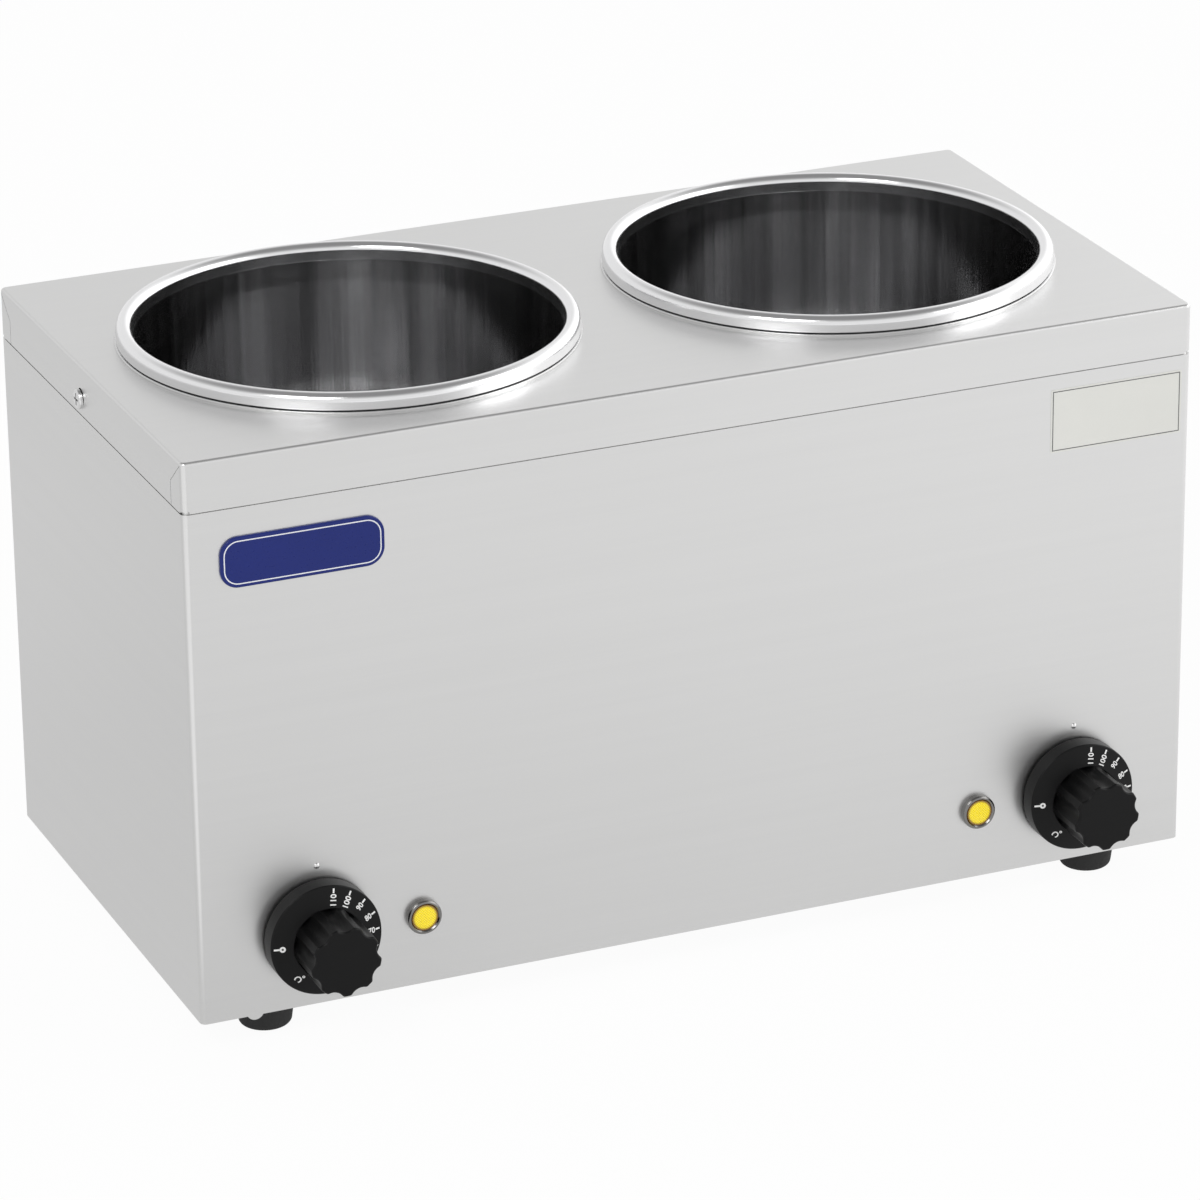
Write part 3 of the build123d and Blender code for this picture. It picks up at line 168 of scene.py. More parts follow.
class Recipe:
    """A node tree that every other node is added to by one method."""

    def __init__(self, tree: bpy.types.NodeTree) -> None:
        """Empties the tree.

        Args:
            tree: The node tree of a material or of the world.
        """
        self.tree = tree
        self.tree.nodes.clear()

    def node(
        self,
        kind: str,
        settings: dict[str, Any] | None = None,
        inputs: dict[Any, Any] | None = None,
        output: Any = 0,
    ) -> Wire:
        """Adds a node, sets it up and fills its sockets.

        Args:
            kind: The node's type.
            settings: Its settings, a ramp's stops among them.
            inputs: Its sockets' values or wires.
            output: Which output to give back.

        Returns:
            The output.
        """
        made = self.tree.nodes.new(kind)
        for key, value in (settings or {}).items():
            setattr(made, key, value)
        for key, value in (inputs or {}).items():
            socket = made.inputs[key]
            if isinstance(value, Wire):
                self.tree.links.new(value.socket, socket)
            elif socket.type == "RGBA":
                socket.default_value = (*value, 1.0)
            else:
                socket.default_value = value
        return Wire(self, made.outputs[output]) if made.outputs else Wire(self, None)

    def spot(self) -> tuple[Wire, Wire, Wire]:
        """The point's place on the object, in metres, as three values."""
        at = self.node("ShaderNodeTexCoord", output="Object")
        return tuple(
            self.node("ShaderNodeSeparateXYZ", inputs={0: at}, output=axis) for axis in range(3)
        )

    def noise(self, scale: Sequence[float], detail: float = 2.0, roughness: float = 0.5) -> Wire:
        """Noise over the object, stretched by a scale along each axis.

        Args:
            scale: Features per metre along X, Y and Z.
            detail: Octaves.
            roughness: How much the finer octaves weigh.

        Returns:
            A value round a half.
        """
        at = self.node("ShaderNodeTexCoord", output="Object")
        placed = self.node("ShaderNodeMapping", inputs={"Vector": at, "Scale": tuple(scale)})
        return self.noise_at(placed, detail, roughness)

    def noise_at(self, place: Wire, detail: float, roughness: float) -> Wire:
        """Noise at a worked-out place.

        Args:
            place: The place, already scaled.
            detail: Octaves.
            roughness: How much the finer octaves weigh.

        Returns:
            A value round a half.
        """
        return self.node(
            "ShaderNodeTexNoise",
            inputs={"Vector": place, "Scale": 1.0, "Detail": detail, "Roughness": roughness},
        )

    def mix(self, factor: Amount, first: Any, second: Any) -> Wire:
        """Blends two colours.

        Args:
            factor: Nought for the first and one for the second.
            first: A colour or wire.
            second: A colour or wire.

        Returns:
            The blend.
        """
        return self.node(
            "ShaderNodeMix", {"data_type": "RGBA"}, {0: factor, 6: first, 7: second}, output=2
        )

    def relief(self, height: Wire, depth: float) -> Wire:
        """Turns a height into a bump.

        Args:
            height: The height, from nought to one.
            depth: What a height of one stands for, in metres.

        Returns:
            The bent normal.
        """
        heights = {"Height": height, "Distance": depth, "Strength": 1.0}
        return self.node("ShaderNodeBump", inputs=heights)


# ------------------------------------------------------------------------------- finishes


@dataclass(frozen=True)
class Finish:
    """A plain finish: a colour, slightly uneven, with a fine texture."""

    name: str
    colour: Colour
    roughness: float
    metallic: float = 0.0
    unevenness: float = 0.12
    texture_per_metre: float = 900.0
    texture_depth: float = 4e-5
    shine: float = 0.5

    def material(self) -> bpy.types.Material:
        """Gives this finish's material, made once."""
        known = bpy.data.materials.get(self.name)
        if known is not None:
            return known
        made = bpy.data.materials.new(self.name)
        made.use_nodes = True
        recipe = Recipe(made.node_tree)
        constants = {"Metallic": self.metallic, "Specular IOR Level": self.shine}
        inputs = {**constants, **self.dress(recipe)}
        shader = recipe.node("ShaderNodeBsdfPrincipled", inputs=inputs)
        recipe.node("ShaderNodeOutputMaterial", inputs={"Surface": shader})
        made.diffuse_color = (*self.colour, 1.0)
        return made

    def shade(self, factor: float) -> Colour:
        """This finish's colour, darker or lighter."""
        return tuple(min(1.0, part * factor) for part in self.colour)

    def dress(self, recipe: Recipe) -> dict[str, Any]:
        """Works out what the shader is given.

        Args:
            recipe: The finish's node tree.

        Returns:
            The shader's sockets and their values or wires.
        """
        even = (self.texture_per_metre,) * 3
        patch = recipe.noise((35.0, 35.0, 35.0), detail=3.0)
        pores = recipe.noise(even, detail=2.0)
        cloud = patch * 0.65 + pores * 0.35
        return {
            "Base Color": recipe.mix(
                cloud, self.shade(1 - self.unevenness), self.shade(1 + self.unevenness)
            ),
            "Roughness": self.roughness + (pores - 0.5) * 0.16,
            "Normal": recipe.relief(pores, self.texture_depth),
        }


@dataclass(frozen=True)
class SatinSteel(Finish):
    """Stainless sheet with a fine level grain along the panels."""

    grain_per_metre: float = 2600.0
    along_per_metre: float = 9.0
    band_per_metre: float = 190.0
    band_top_per_metre: float = 183.0
    band_along_per_metre: float = 3.0
    cloud_per_metre: float = 5.0

    def dress(self, recipe: Recipe) -> dict[str, Any]:
        """Lays the grain level on upright faces and from side to side on the top.

        Args:
            recipe: The finish's node tree.

        Returns:
            The shader's sockets and their values or wires.
        """
        x, y, z = recipe.spot()
        facing = recipe.node("ShaderNodeNewGeometry", output="Normal")
        upward = abs(recipe.node("ShaderNodeSeparateXYZ", inputs={0: facing}, output=2)).above(0.7)
        across, along = self.grain_per_metre, self.along_per_metre
        y_scale = upward * (across - along) + along
        placed = recipe.node(
            "ShaderNodeCombineXYZ", inputs={0: x * along, 1: y * y_scale, 2: z * across}
        )
        along = self.band_along_per_metre
        y_scale = upward * (self.band_top_per_metre - along) + along
        broad = recipe.node(
            "ShaderNodeCombineXYZ",
            inputs={0: x * along, 1: y * y_scale, 2: z * self.band_per_metre},
        )
        grain = recipe.noise_at(placed, 2.0, 0.6)
        bands = recipe.noise_at(broad, 3.0, 0.6)
        cloud = recipe.noise((self.cloud_per_metre,) * 3, detail=3.0)
        streaks = grain * 0.4 + bands * 0.35 + cloud * 0.25
        return {
            "Base Color": recipe.mix(
                streaks, self.shade(1 - self.unevenness), self.shade(1 + self.unevenness)
            ),
            "Roughness": self.roughness + (grain - 0.5) * 0.14 + (cloud - 0.5) * 0.05,
            "Normal": recipe.relief(grain, self.texture_depth),
        }


@dataclass(frozen=True)
class MirrorSteel(Finish):
    """Polished deep-drawn steel with upright draw marks and a softer bead; its colour carries
    painted reflection streaks and shade up the walls and a painted highlight on the bead.
    """

    draw_per_metre: float = 420.0
    band_per_metre: float = 62.0
    band_weight: float = 6.0
    bead_from_z: float = 0.3012
    bead_haze: float = 0.0

    def dress(self, recipe: Recipe) -> dict[str, Any]:
        """Runs fine and broad marks up the walls, paints reflection streaks and shade into the
        walls' colour, paints the bead light and hazes it.

        Args:
            recipe: The finish's node tree.

        Returns:
            The shader's sockets and their values or wires.
        """
        marks = recipe.noise((self.draw_per_metre, self.draw_per_metre, 2.0), detail=2.0)
        bands = recipe.noise((self.band_per_metre, self.band_per_metre, 1.5), detail=2.0)
        haze = recipe.noise((14.0, 14.0, 30.0), detail=4.0)
        # Painted highlight: the bead takes the light end of the colour; the same mask hazes its
        # roughness.
        bead = recipe.spot()[2].above(self.bead_from_z)
        wall = 1.0 - bead
        # Painted reflection streaks and shade: the broad bands are stepped into the walls' colour.
        painted_streaks = bands.step(0.36, 0.66) * 0.75 + marks * 0.15 + haze * 0.1
        return {
            "Base Color": recipe.mix(
                painted_streaks * wall + bead,
                self.shade(1 - self.unevenness),
                self.shade(1 + self.unevenness),
            ),
            "Roughness": self.roughness
            + (haze - 0.5) * 0.06
            + (marks - 0.5) * 0.05
            + bead * self.bead_haze,
            "Normal": recipe.relief((marks + bands * self.band_weight) * wall, self.texture_depth),
        }


@dataclass(frozen=True)
class LampYellow(Finish):
    """Clear yellow lens, with painted shade towards its edge and in the facets, and a faint
    painted glow.
    """

    centre: tuple[float, float] = (147.0, 51.7)
    radius: float = 6.6
    # Painted shade round the lens's edge, browner there.
    edge_colour: Colour = (0.14, 0.055, 0.0)
    facet: float = 1.35
    # Painted shade in the facets, and a faint painted glow that keeps the lens's shading low.
    facet_shade: float = 0.55
    glow: float = 0.30

    def dress(self, recipe: Recipe) -> dict[str, Any]:
        """Fades to painted shade from the lens's middle, measured from whichever lamp is near, and
        paints shade into the facets.

        Args:
            recipe: The finish's node tree.

        Returns:
            The shader's sockets and their values or wires.
        """
        x, _, z = recipe.spot()
        aside = abs(x) - self.centre[0] * MM
        aloft = z - self.centre[1] * MM
        out = (aside * aside + aloft * aloft).root() / (self.radius * MM)
        # Painted shade: browner towards the rim.
        rim = out.step(0.74, 0.99)
        first = abs(((aside + aloft) / (self.facet * MM)).fraction() - 0.5)
        second = abs(((aside - aloft) / (self.facet * MM)).fraction() - 0.5)
        facets = first + second
        cloud = recipe.noise((self.texture_per_metre,) * 3, detail=1.0)
        # Painted shade: darker in the facets.
        bright = recipe.mix(facets, self.shade(1.06), self.shade(self.facet_shade))
        colour = recipe.mix(rim, bright, self.edge_colour)
        return {
            "Base Color": colour,
            "Roughness": self.roughness + (cloud - 0.5) * 0.1,
            # Painted light: a faint glow that keeps the lens's shading low.
            "Emission Color": colour,
            "Emission Strength": self.glow,
            "Coat Weight": 0.4,
            "Normal": recipe.relief(cloud, self.texture_depth),
        }


class Palette:
    """Every finish on the bain-marie."""

    CASE = SatinSteel("case_satin_steel", (0.680, 0.679, 0.676), 0.33, 1.0, 0.05, 900.0, 1.2e-6)
    PLATE = SatinSteel("base_zinc_sheet", (0.50, 0.51, 0.52), 0.42, 1.0, 0.10, 900.0, 2e-6)
    # The pot's wide colour spread is painted reflection streaks and shade on the walls, with a
    # painted highlight on the bead.
    POT = MirrorSteel(
        "pot_mirror_steel", (0.58, 0.58, 0.585), 0.135, 1.0, 0.36, 900.0, 7e-5, bead_haze=0.04
    )
    WELL = MirrorSteel("well_drawn_steel", (0.64, 0.64, 0.64), 0.20, 1.0, 0.05, 900.0, 6e-5)
    SHEATH = Finish("heater_sheath", (0.20, 0.185, 0.17), 0.48, 0.9, 0.25, 600.0, 5e-5)
    ZINC = Finish("zinc_plated_steel", (0.56, 0.565, 0.57), 0.32, 1.0, 0.10, 1500.0, 2e-5)
    BRIGHT = Finish("bright_screw_steel", (0.72, 0.72, 0.72), 0.22, 1.0, 0.06, 1500.0, 1e-5)
    BRASS = Finish("machined_brass", (0.62, 0.42, 0.16), 0.30, 1.0, 0.10, 1400.0, 2e-5)
    COPPER = Finish("drawn_copper", (0.62, 0.29, 0.17), 0.33, 1.0, 0.14, 900.0, 2e-5)
    CERAMIC = Finish("steatite", (0.80, 0.77, 0.70), 0.42, 0.0, 0.05, 1200.0, 3e-5)
    KNOB = Finish(
        "satin_black_moulding", (0.004, 0.004, 0.0042), 0.34, 0.0, 0.20, 2200.0, 1.6e-5, shine=0.17
    )
    PRINT = Finish("dial_white_print", (0.86, 0.86, 0.85), 0.50, 0.0, 0.05, 2500.0, 1e-5)
    PHENOLIC = Finish("brown_phenolic", (0.030, 0.024, 0.020), 0.42, 0.0, 0.25, 1100.0, 4e-5)
    CHROME = Finish("lamp_dark_chrome", (0.22, 0.215, 0.21), 0.20, 1.0, 0.08, 1500.0, 8e-6)
    LENS = LampYellow("lamp_yellow_lens", (0.95, 0.74, 0.004), 0.18, 0.0, 0.05, 900.0, 1e-5)
    NYLON = Finish("white_nylon", (0.74, 0.73, 0.69), 0.45, 0.0, 0.06, 900.0, 3e-5)
    FILM = Finish("off_white_film", (0.69, 0.69, 0.655), 0.38, 0.0, 0.04, 1300.0, 8e-6)
    GREY_INK = Finish("grey_ink", (0.11, 0.112, 0.112), 0.45, 0.0, 0.10, 1300.0, 5e-6)
    ENAMEL = Finish("navy_enamel", (0.006, 0.016, 0.150), 0.30, 0.0, 0.14, 700.0, 1e-5, shine=0.3)
    KEYLINE = Finish("white_enamel", (0.78, 0.79, 0.82), 0.22, 0.0, 0.05, 900.0, 8e-6)
    RUBBER = Finish("foot_rubber", (0.016, 0.016, 0.016), 0.58, 0.0, 0.30, 1300.0, 7e-5)
    SEAL = Finish("seal_rubber", (0.035, 0.035, 0.035), 0.60, 0.0, 0.25, 1300.0, 6e-5)
    GLAND = Finish("black_nylon", (0.020, 0.020, 0.020), 0.40, 0.0, 0.20, 1000.0, 4e-5)
    BLOCK = Finish("cream_nylon", (0.64, 0.60, 0.50), 0.45, 0.0, 0.08, 900.0, 3e-5)
    BROWN = Finish("brown_sleeving", (0.120, 0.050, 0.022), 0.50, 0.0, 0.20, 1600.0, 4e-5)
    BLACK = Finish("black_sleeving", (0.018, 0.018, 0.018), 0.50, 0.0, 0.20, 1600.0, 4e-5)
    BLUE = Finish("blue_sleeving", (0.035, 0.085, 0.36), 0.50, 0.0, 0.15, 1600.0, 4e-5)
    WHITE = Finish("white_sleeving", (0.70, 0.70, 0.68), 0.50, 0.0, 0.08, 1600.0, 4e-5)
    GREEN = Finish("green_sleeving", (0.070, 0.30, 0.075), 0.50, 0.0, 0.15, 1600.0, 4e-5)


# ----------------------------------------------------------------------------- shape tools


def finish_shape(
    shape: Shape,
    name: str,
    finish: Finish,
    body: Body = Body.CASE,
    replaced: Iterable[str] = (),
    bend_degrees: float = BEND_DEGREES,
    unit: float = MM,
) -> bpy.types.Object:
    """Turns a shape into a finished piece in metres that rides on a body.

    Args:
        shape: The shape, in place, which is used up.
        name: The piece's name.
        finish: Its finish.
        body: The body that it rides on.
        replaced: The CAD nodes that it stands for.
        bend_degrees: Edges sharper than this stay crisp.
        unit: What one of the shape's units is, in metres.

    Returns:
        The piece.
    """
    bmesh.ops.scale(shape, vec=(unit, unit, unit), verts=shape.verts)
    mesh = bpy.data.meshes.new(name)
    shape.to_mesh(mesh)
    shape.free()
    if "custom_normal" in mesh.attributes:
        mesh.attributes.remove(mesh.attributes["custom_normal"])
    mesh.shade_smooth()
    mesh.set_sharp_from_angle(angle=math.radians(bend_degrees))
    mesh.materials.clear()
    mesh.materials.append(finish.material())
    piece = bpy.data.objects.new(name, mesh)
    bpy.context.scene.collection.objects.link(piece)
    level = piece.modifiers.new("level_faces", "WEIGHTED_NORMAL")
    level.keep_sharp = True
    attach(piece, body.value)
    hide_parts(*replaced)
    log.info("%s on %s, %d faces", name, body.value, len(mesh.polygons))
    return piece


def join(shapes: Iterable[Shape]) -> Shape:
    """Puts several shapes into one.

    Args:
        shapes: The shapes, which are used up.

    Returns:
        The joined shape.
    """
    whole = bmesh.new()
    for shape in shapes:
        part = bpy.data.meshes.new("part")
        shape.to_mesh(part)
        shape.free()
        whole.from_mesh(part)
        bpy.data.meshes.remove(part)
    return whole


def shift(shape: Shape, x: float, y: float, z: float) -> Shape:
    """Moves a shape by millimetres and gives it back."""
    bmesh.ops.translate(shape, vec=(x, y, z), verts=shape.verts)
    return shape


def face_front(shape: Shape) -> Shape:
    """Tips a shape so that its own up points out of the front panel."""
    tip = Matrix.Rotation(math.radians(90), 3, "X")
    bmesh.ops.rotate(shape, cent=(0, 0, 0), matrix=tip, verts=shape.verts)
    return shape


class Pen:
    """Draws a profile of radius and height, then turns it into a round shape."""

    def __init__(self, radius: float, height: float) -> None:
        """Starts at a point.

        Args:
            radius: Distance from the axis, in millimetres.
            height: Height along the axis, in millimetres.
        """
        self.shape = bmesh.new()
        self.first = self.shape.verts.new((radius, 0, height))
        self.last = self.first

    def to(self, radius: float, height: float) -> "Pen":
        """Draws a straight run to a point."""
        new = self.shape.verts.new((radius, 0, height))
        self.shape.edges.new((self.last, new))
        self.last = new
        return self

    def arc(self, radius: float, height: float, degrees: float, steps: int) -> "Pen":
        """Draws an arc round a centre.

        Args:
            radius: The centre's distance from the axis.
            height: The centre's height.
            degrees: The turn, positive from outwards to upwards.
            steps: How many runs it has.

        Returns:
            The pen.
        """
        drawn = bmesh.ops.spin(
            self.shape,
            geom=[self.last],
            cent=(radius, 0, height),
            axis=(0, -1, 0),
            angle=math.radians(degrees),
            steps=steps,
        )
        self.last = next(g for g in drawn["geom_last"] if isinstance(g, bmesh.types.BMVert))
        return self

    def close(self) -> "Pen":
        """Joins the last point to the first."""
        self.shape.edges.new((self.last, self.first))
        return self

    def turn(self, steps: int) -> Shape:
        """Turns the profile full circle.

        Args:
            steps: How many facets go round.

        Returns:
            The closed shape, about the upright axis.
        """
        profile = self.shape.verts[:] + self.shape.edges[:]
        bmesh.ops.spin(
            self.shape,
            geom=profile,
            cent=(0, 0, 0),
            axis=(0, 0, 1),
            angle=math.tau,
            steps=steps,
            use_merge=True,
        )
        bmesh.ops.remove_doubles(self.shape, verts=self.shape.verts, dist=WELD / MM)
        bmesh.ops.recalc_face_normals(self.shape, faces=self.shape.faces)
        return self.shape


def round_off(
    shape: Shape,
    where: Sequence[Any],
    radius: float,
    steps: int,
    affect: str = "EDGES",
    clamp: bool = False,
) -> None:
    """Rounds edges or corners off.

    Args:
        shape: The shape.
        where: Its edges or vertices.
        radius: How far the rounding reaches.
        steps: Facets across it.
        affect: EDGES or VERTICES.
        clamp: Whether roundings stop where they would meet.
    """
    bmesh.ops.bevel(
        shape,
        geom=where,
        offset=radius,
        segments=steps,
        profile=0.5,
        affect=affect,
        clamp_overlap=clamp,
        material=-1,
    )


def raise_faces(shape: Shape, height: float) -> None:
    """Extrudes every face of a flat shape upwards by a height."""
    raised = bmesh.ops.extrude_face_region(shape, geom=shape.faces[:])
    top = [part for part in raised["geom"] if isinstance(part, bmesh.types.BMVert)]
    bmesh.ops.translate(shape, vec=(0, 0, height), verts=top)


def rectangle(width: float, height: float, corner: float, steps: int = 10) -> Shape:
    """A flat rounded rectangle about the origin, its face up.

    Args:
        width: Along X.
        height: Along Y.
        corner: Corner radius, or nought for square corners.
        steps: Facets in a corner.

    Returns:
        The rectangle.
    """
    flat = bmesh.new()
    bmesh.ops.create_grid(flat, x_segments=1, y_segments=1, size=0.5)
    bmesh.ops.scale(flat, vec=(width, height, 1), verts=flat.verts)
    if corner > 0:
        round_off(flat, flat.verts[:], corner, steps, "VERTICES")
    return flat


def plate_of(flat: Shape, thickness: float, edge: float = 0.0) -> Shape:
    """Thickens a flat shape upwards and softens its front edge.

    Args:
        flat: The shape.
        thickness: Along Z.
        edge: Radius of the front edge, or nought.

    Returns:
        The plate, standing on its back.
    """
    raise_faces(flat, thickness)
    if edge > 0:
        rim = [e for e in flat.edges if all(v.co.z > thickness / 2 for v in e.verts)]
        round_off(flat, rim, edge, 4)
    bmesh.ops.recalc_face_normals(flat, faces=flat.faces)
    return flat


def line_frame(flat: Shape, line: float, thickness: float) -> Shape:
    """Turns a flat rectangle into a thin printed line along its border.

    Args:
        flat: The rectangle.
        line: The line's width.
        thickness: How far it stands up.

    Returns:
        The frame, standing on its back.
    """
    middle = flat.faces[:]
    bmesh.ops.inset_region(
        flat, faces=middle, thickness=line, use_boundary=True, use_even_offset=True
    )
    bmesh.ops.delete(flat, geom=middle, context="FACES")
    return plate_of(flat, thickness)


def figures(words: str, length: float, height: float, thickness: float) -> Shape:
    """Printed figures that start at the origin and run along X.

    Args:
        words: The figures.
        length: How far they run.
        height: How tall they are.
        thickness: How far the print stands up.

    Returns:
        The figures, their face up, centred across Y.
    """
    curve = bpy.data.curves.new("figures", "FONT")
    curve.body = words
    curve.extrude = 0.5
    curve.offset = FONT_THICKENING
    curve.resolution_u = FONT_FACETS
    holder = bpy.data.objects.new("figures", curve)
    bpy.context.scene.collection.objects.link(holder)
    bpy.context.view_layer.update()
    depsgraph = bpy.context.evaluated_depsgraph_get()
    mesh = bpy.data.meshes.new_from_object(holder.evaluated_get(depsgraph))
    shape = bmesh.new()
    shape.from_mesh(mesh)
    bpy.data.objects.remove(holder)
    bpy.data.curves.remove(curve)
    bpy.data.meshes.remove(mesh)
    bmesh.ops.remove_doubles(shape, verts=shape.verts, dist=FONT_WELD)
    low = [min(v.co[axis] for v in shape.verts) for axis in range(3)]
    high = [max(v.co[axis] for v in shape.verts) for axis in range(3)]
    shift(shape, -low[0], -(low[1] + high[1]) / 2, -low[2])
    wanted = (length, height, thickness)
    sized = [size / (top - bottom) for size, top, bottom in zip(wanted, high, low)]
    bmesh.ops.scale(shape, vec=sized, verts=shape.verts)
    bmesh.ops.recalc_face_normals(shape, faces=shape.faces)
    return shape


# ------------------------------------------------------------------------------ the pieces


@dataclass
class SmoothedParts:
    """CAD nodes whose shape is right, copied with welded and smooth faces."""

    panels: tuple[tuple[str, Finish, str], ...] = (
        ("housing_shell", Palette.CASE, "case_steel"),
        ("top_cover", Palette.CASE, "case_steel"),
        ("base_plate", Palette.PLATE, "base_steel"),
        ("cover_screws", Palette.BRIGHT, "bright_steel"),
        ("base_screws", Palette.BRIGHT, "bright_steel"),
        ("left_heater", Palette.SHEATH, "heater_sheath"),
        ("right_heater", Palette.SHEATH, "heater_sheath"),
        ("cable_gland", Palette.GLAND, "gland_plastic"),
        ("gland_seal", Palette.SEAL, "seal_rubber"),
        ("gland_cap", Palette.GLAND, "gland_plastic"),
        ("capillary_bulbs", Palette.COPPER, "copper"),
        ("capillary_tubes", Palette.COPPER, "copper"),
        ("live_wires", Palette.BROWN, "wire_brown"),
        ("switched_wires", Palette.BLACK, "wire_black"),
        ("neutral_wires", Palette.BLUE, "wire_blue"),
        ("lamp_wires", Palette.WHITE, "wire_white"),
        ("earth_wire", Palette.GREEN, "wire_green"),
    )

    flat_headed: str = "base_screws"
    base_z: float = 16.0
    head_share: float = 0.25

    def flatten(self, shape: Shape) -> None:
        """Presses the base screws' heads flat, so that they stay hidden behind the edge."""
        base = self.base_z * MM
        for vert in shape.verts:
            if vert.co.z < base:
                vert.co.z = base + (vert.co.z - base) * self.head_share

    def build(self) -> None:
        """Makes each copy and lets it stand for its node."""
        for node, finish, slot in self.panels:
            shape = bmesh.new()
            shape.from_mesh(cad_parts[node].data)
            bmesh.ops.remove_doubles(shape, verts=shape.verts, dist=WELD)
            bmesh.ops.dissolve_degenerate(shape, edges=shape.edges, dist=WELD / 4)
            if node == self.flat_headed:
                self.flatten(shape)
            finish_shape(shape, f"{node}_smooth", finish, replaced=[node], unit=1.0)


@dataclass
class SoupPot:
    """A lift-out pot: bead with an upright outer side, short neck and deep mirror body."""

    side: Side
    centre_x: float = 127.0
    centre_y: float = 8.0
    neck_radius: float = 104.0
    body_radius: float = 103.72
    sheet: float = 0.9
    bead_radius: float = 4.0
    bead_z: float = 305.49
    bead_low_z: float = 301.5
    bead_curl: float = 0.7
    step_top_z: float = 291.5
    step_low_z: float = 289.5
    floor_z: float = 149.5
    floor_radius: float = 18.0
    facets: int = 192

    def build(self) -> None:
        """Turns the pot's whole section, inside and out, round its axis."""
        bead_r = self.neck_radius + self.bead_radius
        corner_r = self.body_radius - self.floor_radius
        corner_z = self.floor_z + self.floor_radius
        pen = Pen(0, self.floor_z)
        pen.to(corner_r * 0.5, self.floor_z).to(corner_r, self.floor_z)
        pen.arc(corner_r, corner_z, 90, 12)
        pen.to(self.body_radius, (corner_z + self.step_low_z) / 2)
        pen.to(self.body_radius, self.step_low_z).to(self.neck_radius, self.step_top_z)
        pen.to(self.neck_radius, self.bead_z)
        pen.arc(bead_r, self.bead_z, -180, 28)
        curl_r = bead_r + self.bead_radius - self.bead_curl
        pen.to(bead_r + self.bead_radius, self.bead_low_z + self.bead_curl)
        pen.arc(curl_r, self.bead_low_z + self.bead_curl, -90, 5)
        inner = self.bead_radius - self.sheet
        pen.to(bead_r + inner - self.bead_curl, self.bead_low_z)
        pen.to(bead_r + inner, self.bead_low_z + self.bead_curl).to(bead_r + inner, self.bead_z)
        pen.arc(bead_r, self.bead_z, 180, 14)
        pen.to(self.neck_radius + self.sheet, self.step_top_z)
        pen.to(self.body_radius + self.sheet, self.step_low_z)
        pen.to(self.body_radius + self.sheet, corner_z)
        pen.arc(corner_r, corner_z, -90, 12)
        pen.to(0, self.floor_z - self.sheet)
        shape = pen.turn(self.facets)
        shift(shape, self.side.value * self.centre_x, self.centre_y, 0)
        finish_shape(
            shape,
            f"{self.side.word}_soup_pot",
            Palette.POT,
            Body[f"{self.side.name}_LIFT_POT"],
            [f"{self.side.word}_pot"],
        )


@dataclass
class WaterWell:
    """A drawn well whose lip lies on the cover."""

    side: Side
    centre_x: float = 127.0
    centre_y: float = 8.0
    inner_radius: float = 106.5
    sheet: float = 1.2
    lip_radius: float = 112.8
    lip_top_z: float = 301.2
    mouth_radius: float = 1.0
    lip_round: float = 0.45
    floor_z: float = 115.0
    floor_radius: float = 14.0
    facets: int = 192

    def build(self) -> None:
        """Turns the well's section round its axis."""
        outer = self.inner_radius + self.sheet
        corner_r = self.inner_radius - self.floor_radius
        corner_z = self.floor_z + self.floor_radius
        low_z = self.lip_top_z - self.sheet
        pen = Pen(0, self.floor_z)
        pen.to(corner_r, self.floor_z).arc(corner_r, corner_z, 90, 10)
        pen.to(self.inner_radius, self.lip_top_z - self.mouth_radius)
        mouth_r = self.inner_radius + self.mouth_radius
        pen.arc(mouth_r, self.lip_top_z - self.mouth_radius, -90, 6)
        pen.to(self.lip_radius - self.lip_round, self.lip_top_z)
        pen.arc(self.lip_radius - self.lip_round, self.lip_top_z - self.lip_round, -90, 5)
        pen.to(self.lip_radius, low_z).to(outer, low_z)
        pen.to(outer, corner_z).arc(corner_r, corner_z, -90, 10)
        pen.to(0, self.floor_z - self.sheet)
        shape = pen.turn(self.facets)
        shift(shape, self.side.value * self.centre_x, self.centre_y, 0)
        name = f"{self.side.word}_water_well"
        finish_shape(
            shape, name, Palette.WELL, Body.CASE, [f"{self.side.word}_well"]
        )


@dataclass
class PanelPiece:
    """A round piece on the front panel, drawn about its own upright axis."""

    side: Side
    centre_x: float = 200.0
    panel_y: float = -125.5
    centre_z: float = 53.5

    def seat(self, shape: Shape) -> Shape:
        """Tips a shape out of the panel and brings it to its place there."""
        face_front(shape)
        return shift(shape, self.side.value * self.centre_x, self.panel_y, self.centre_z)


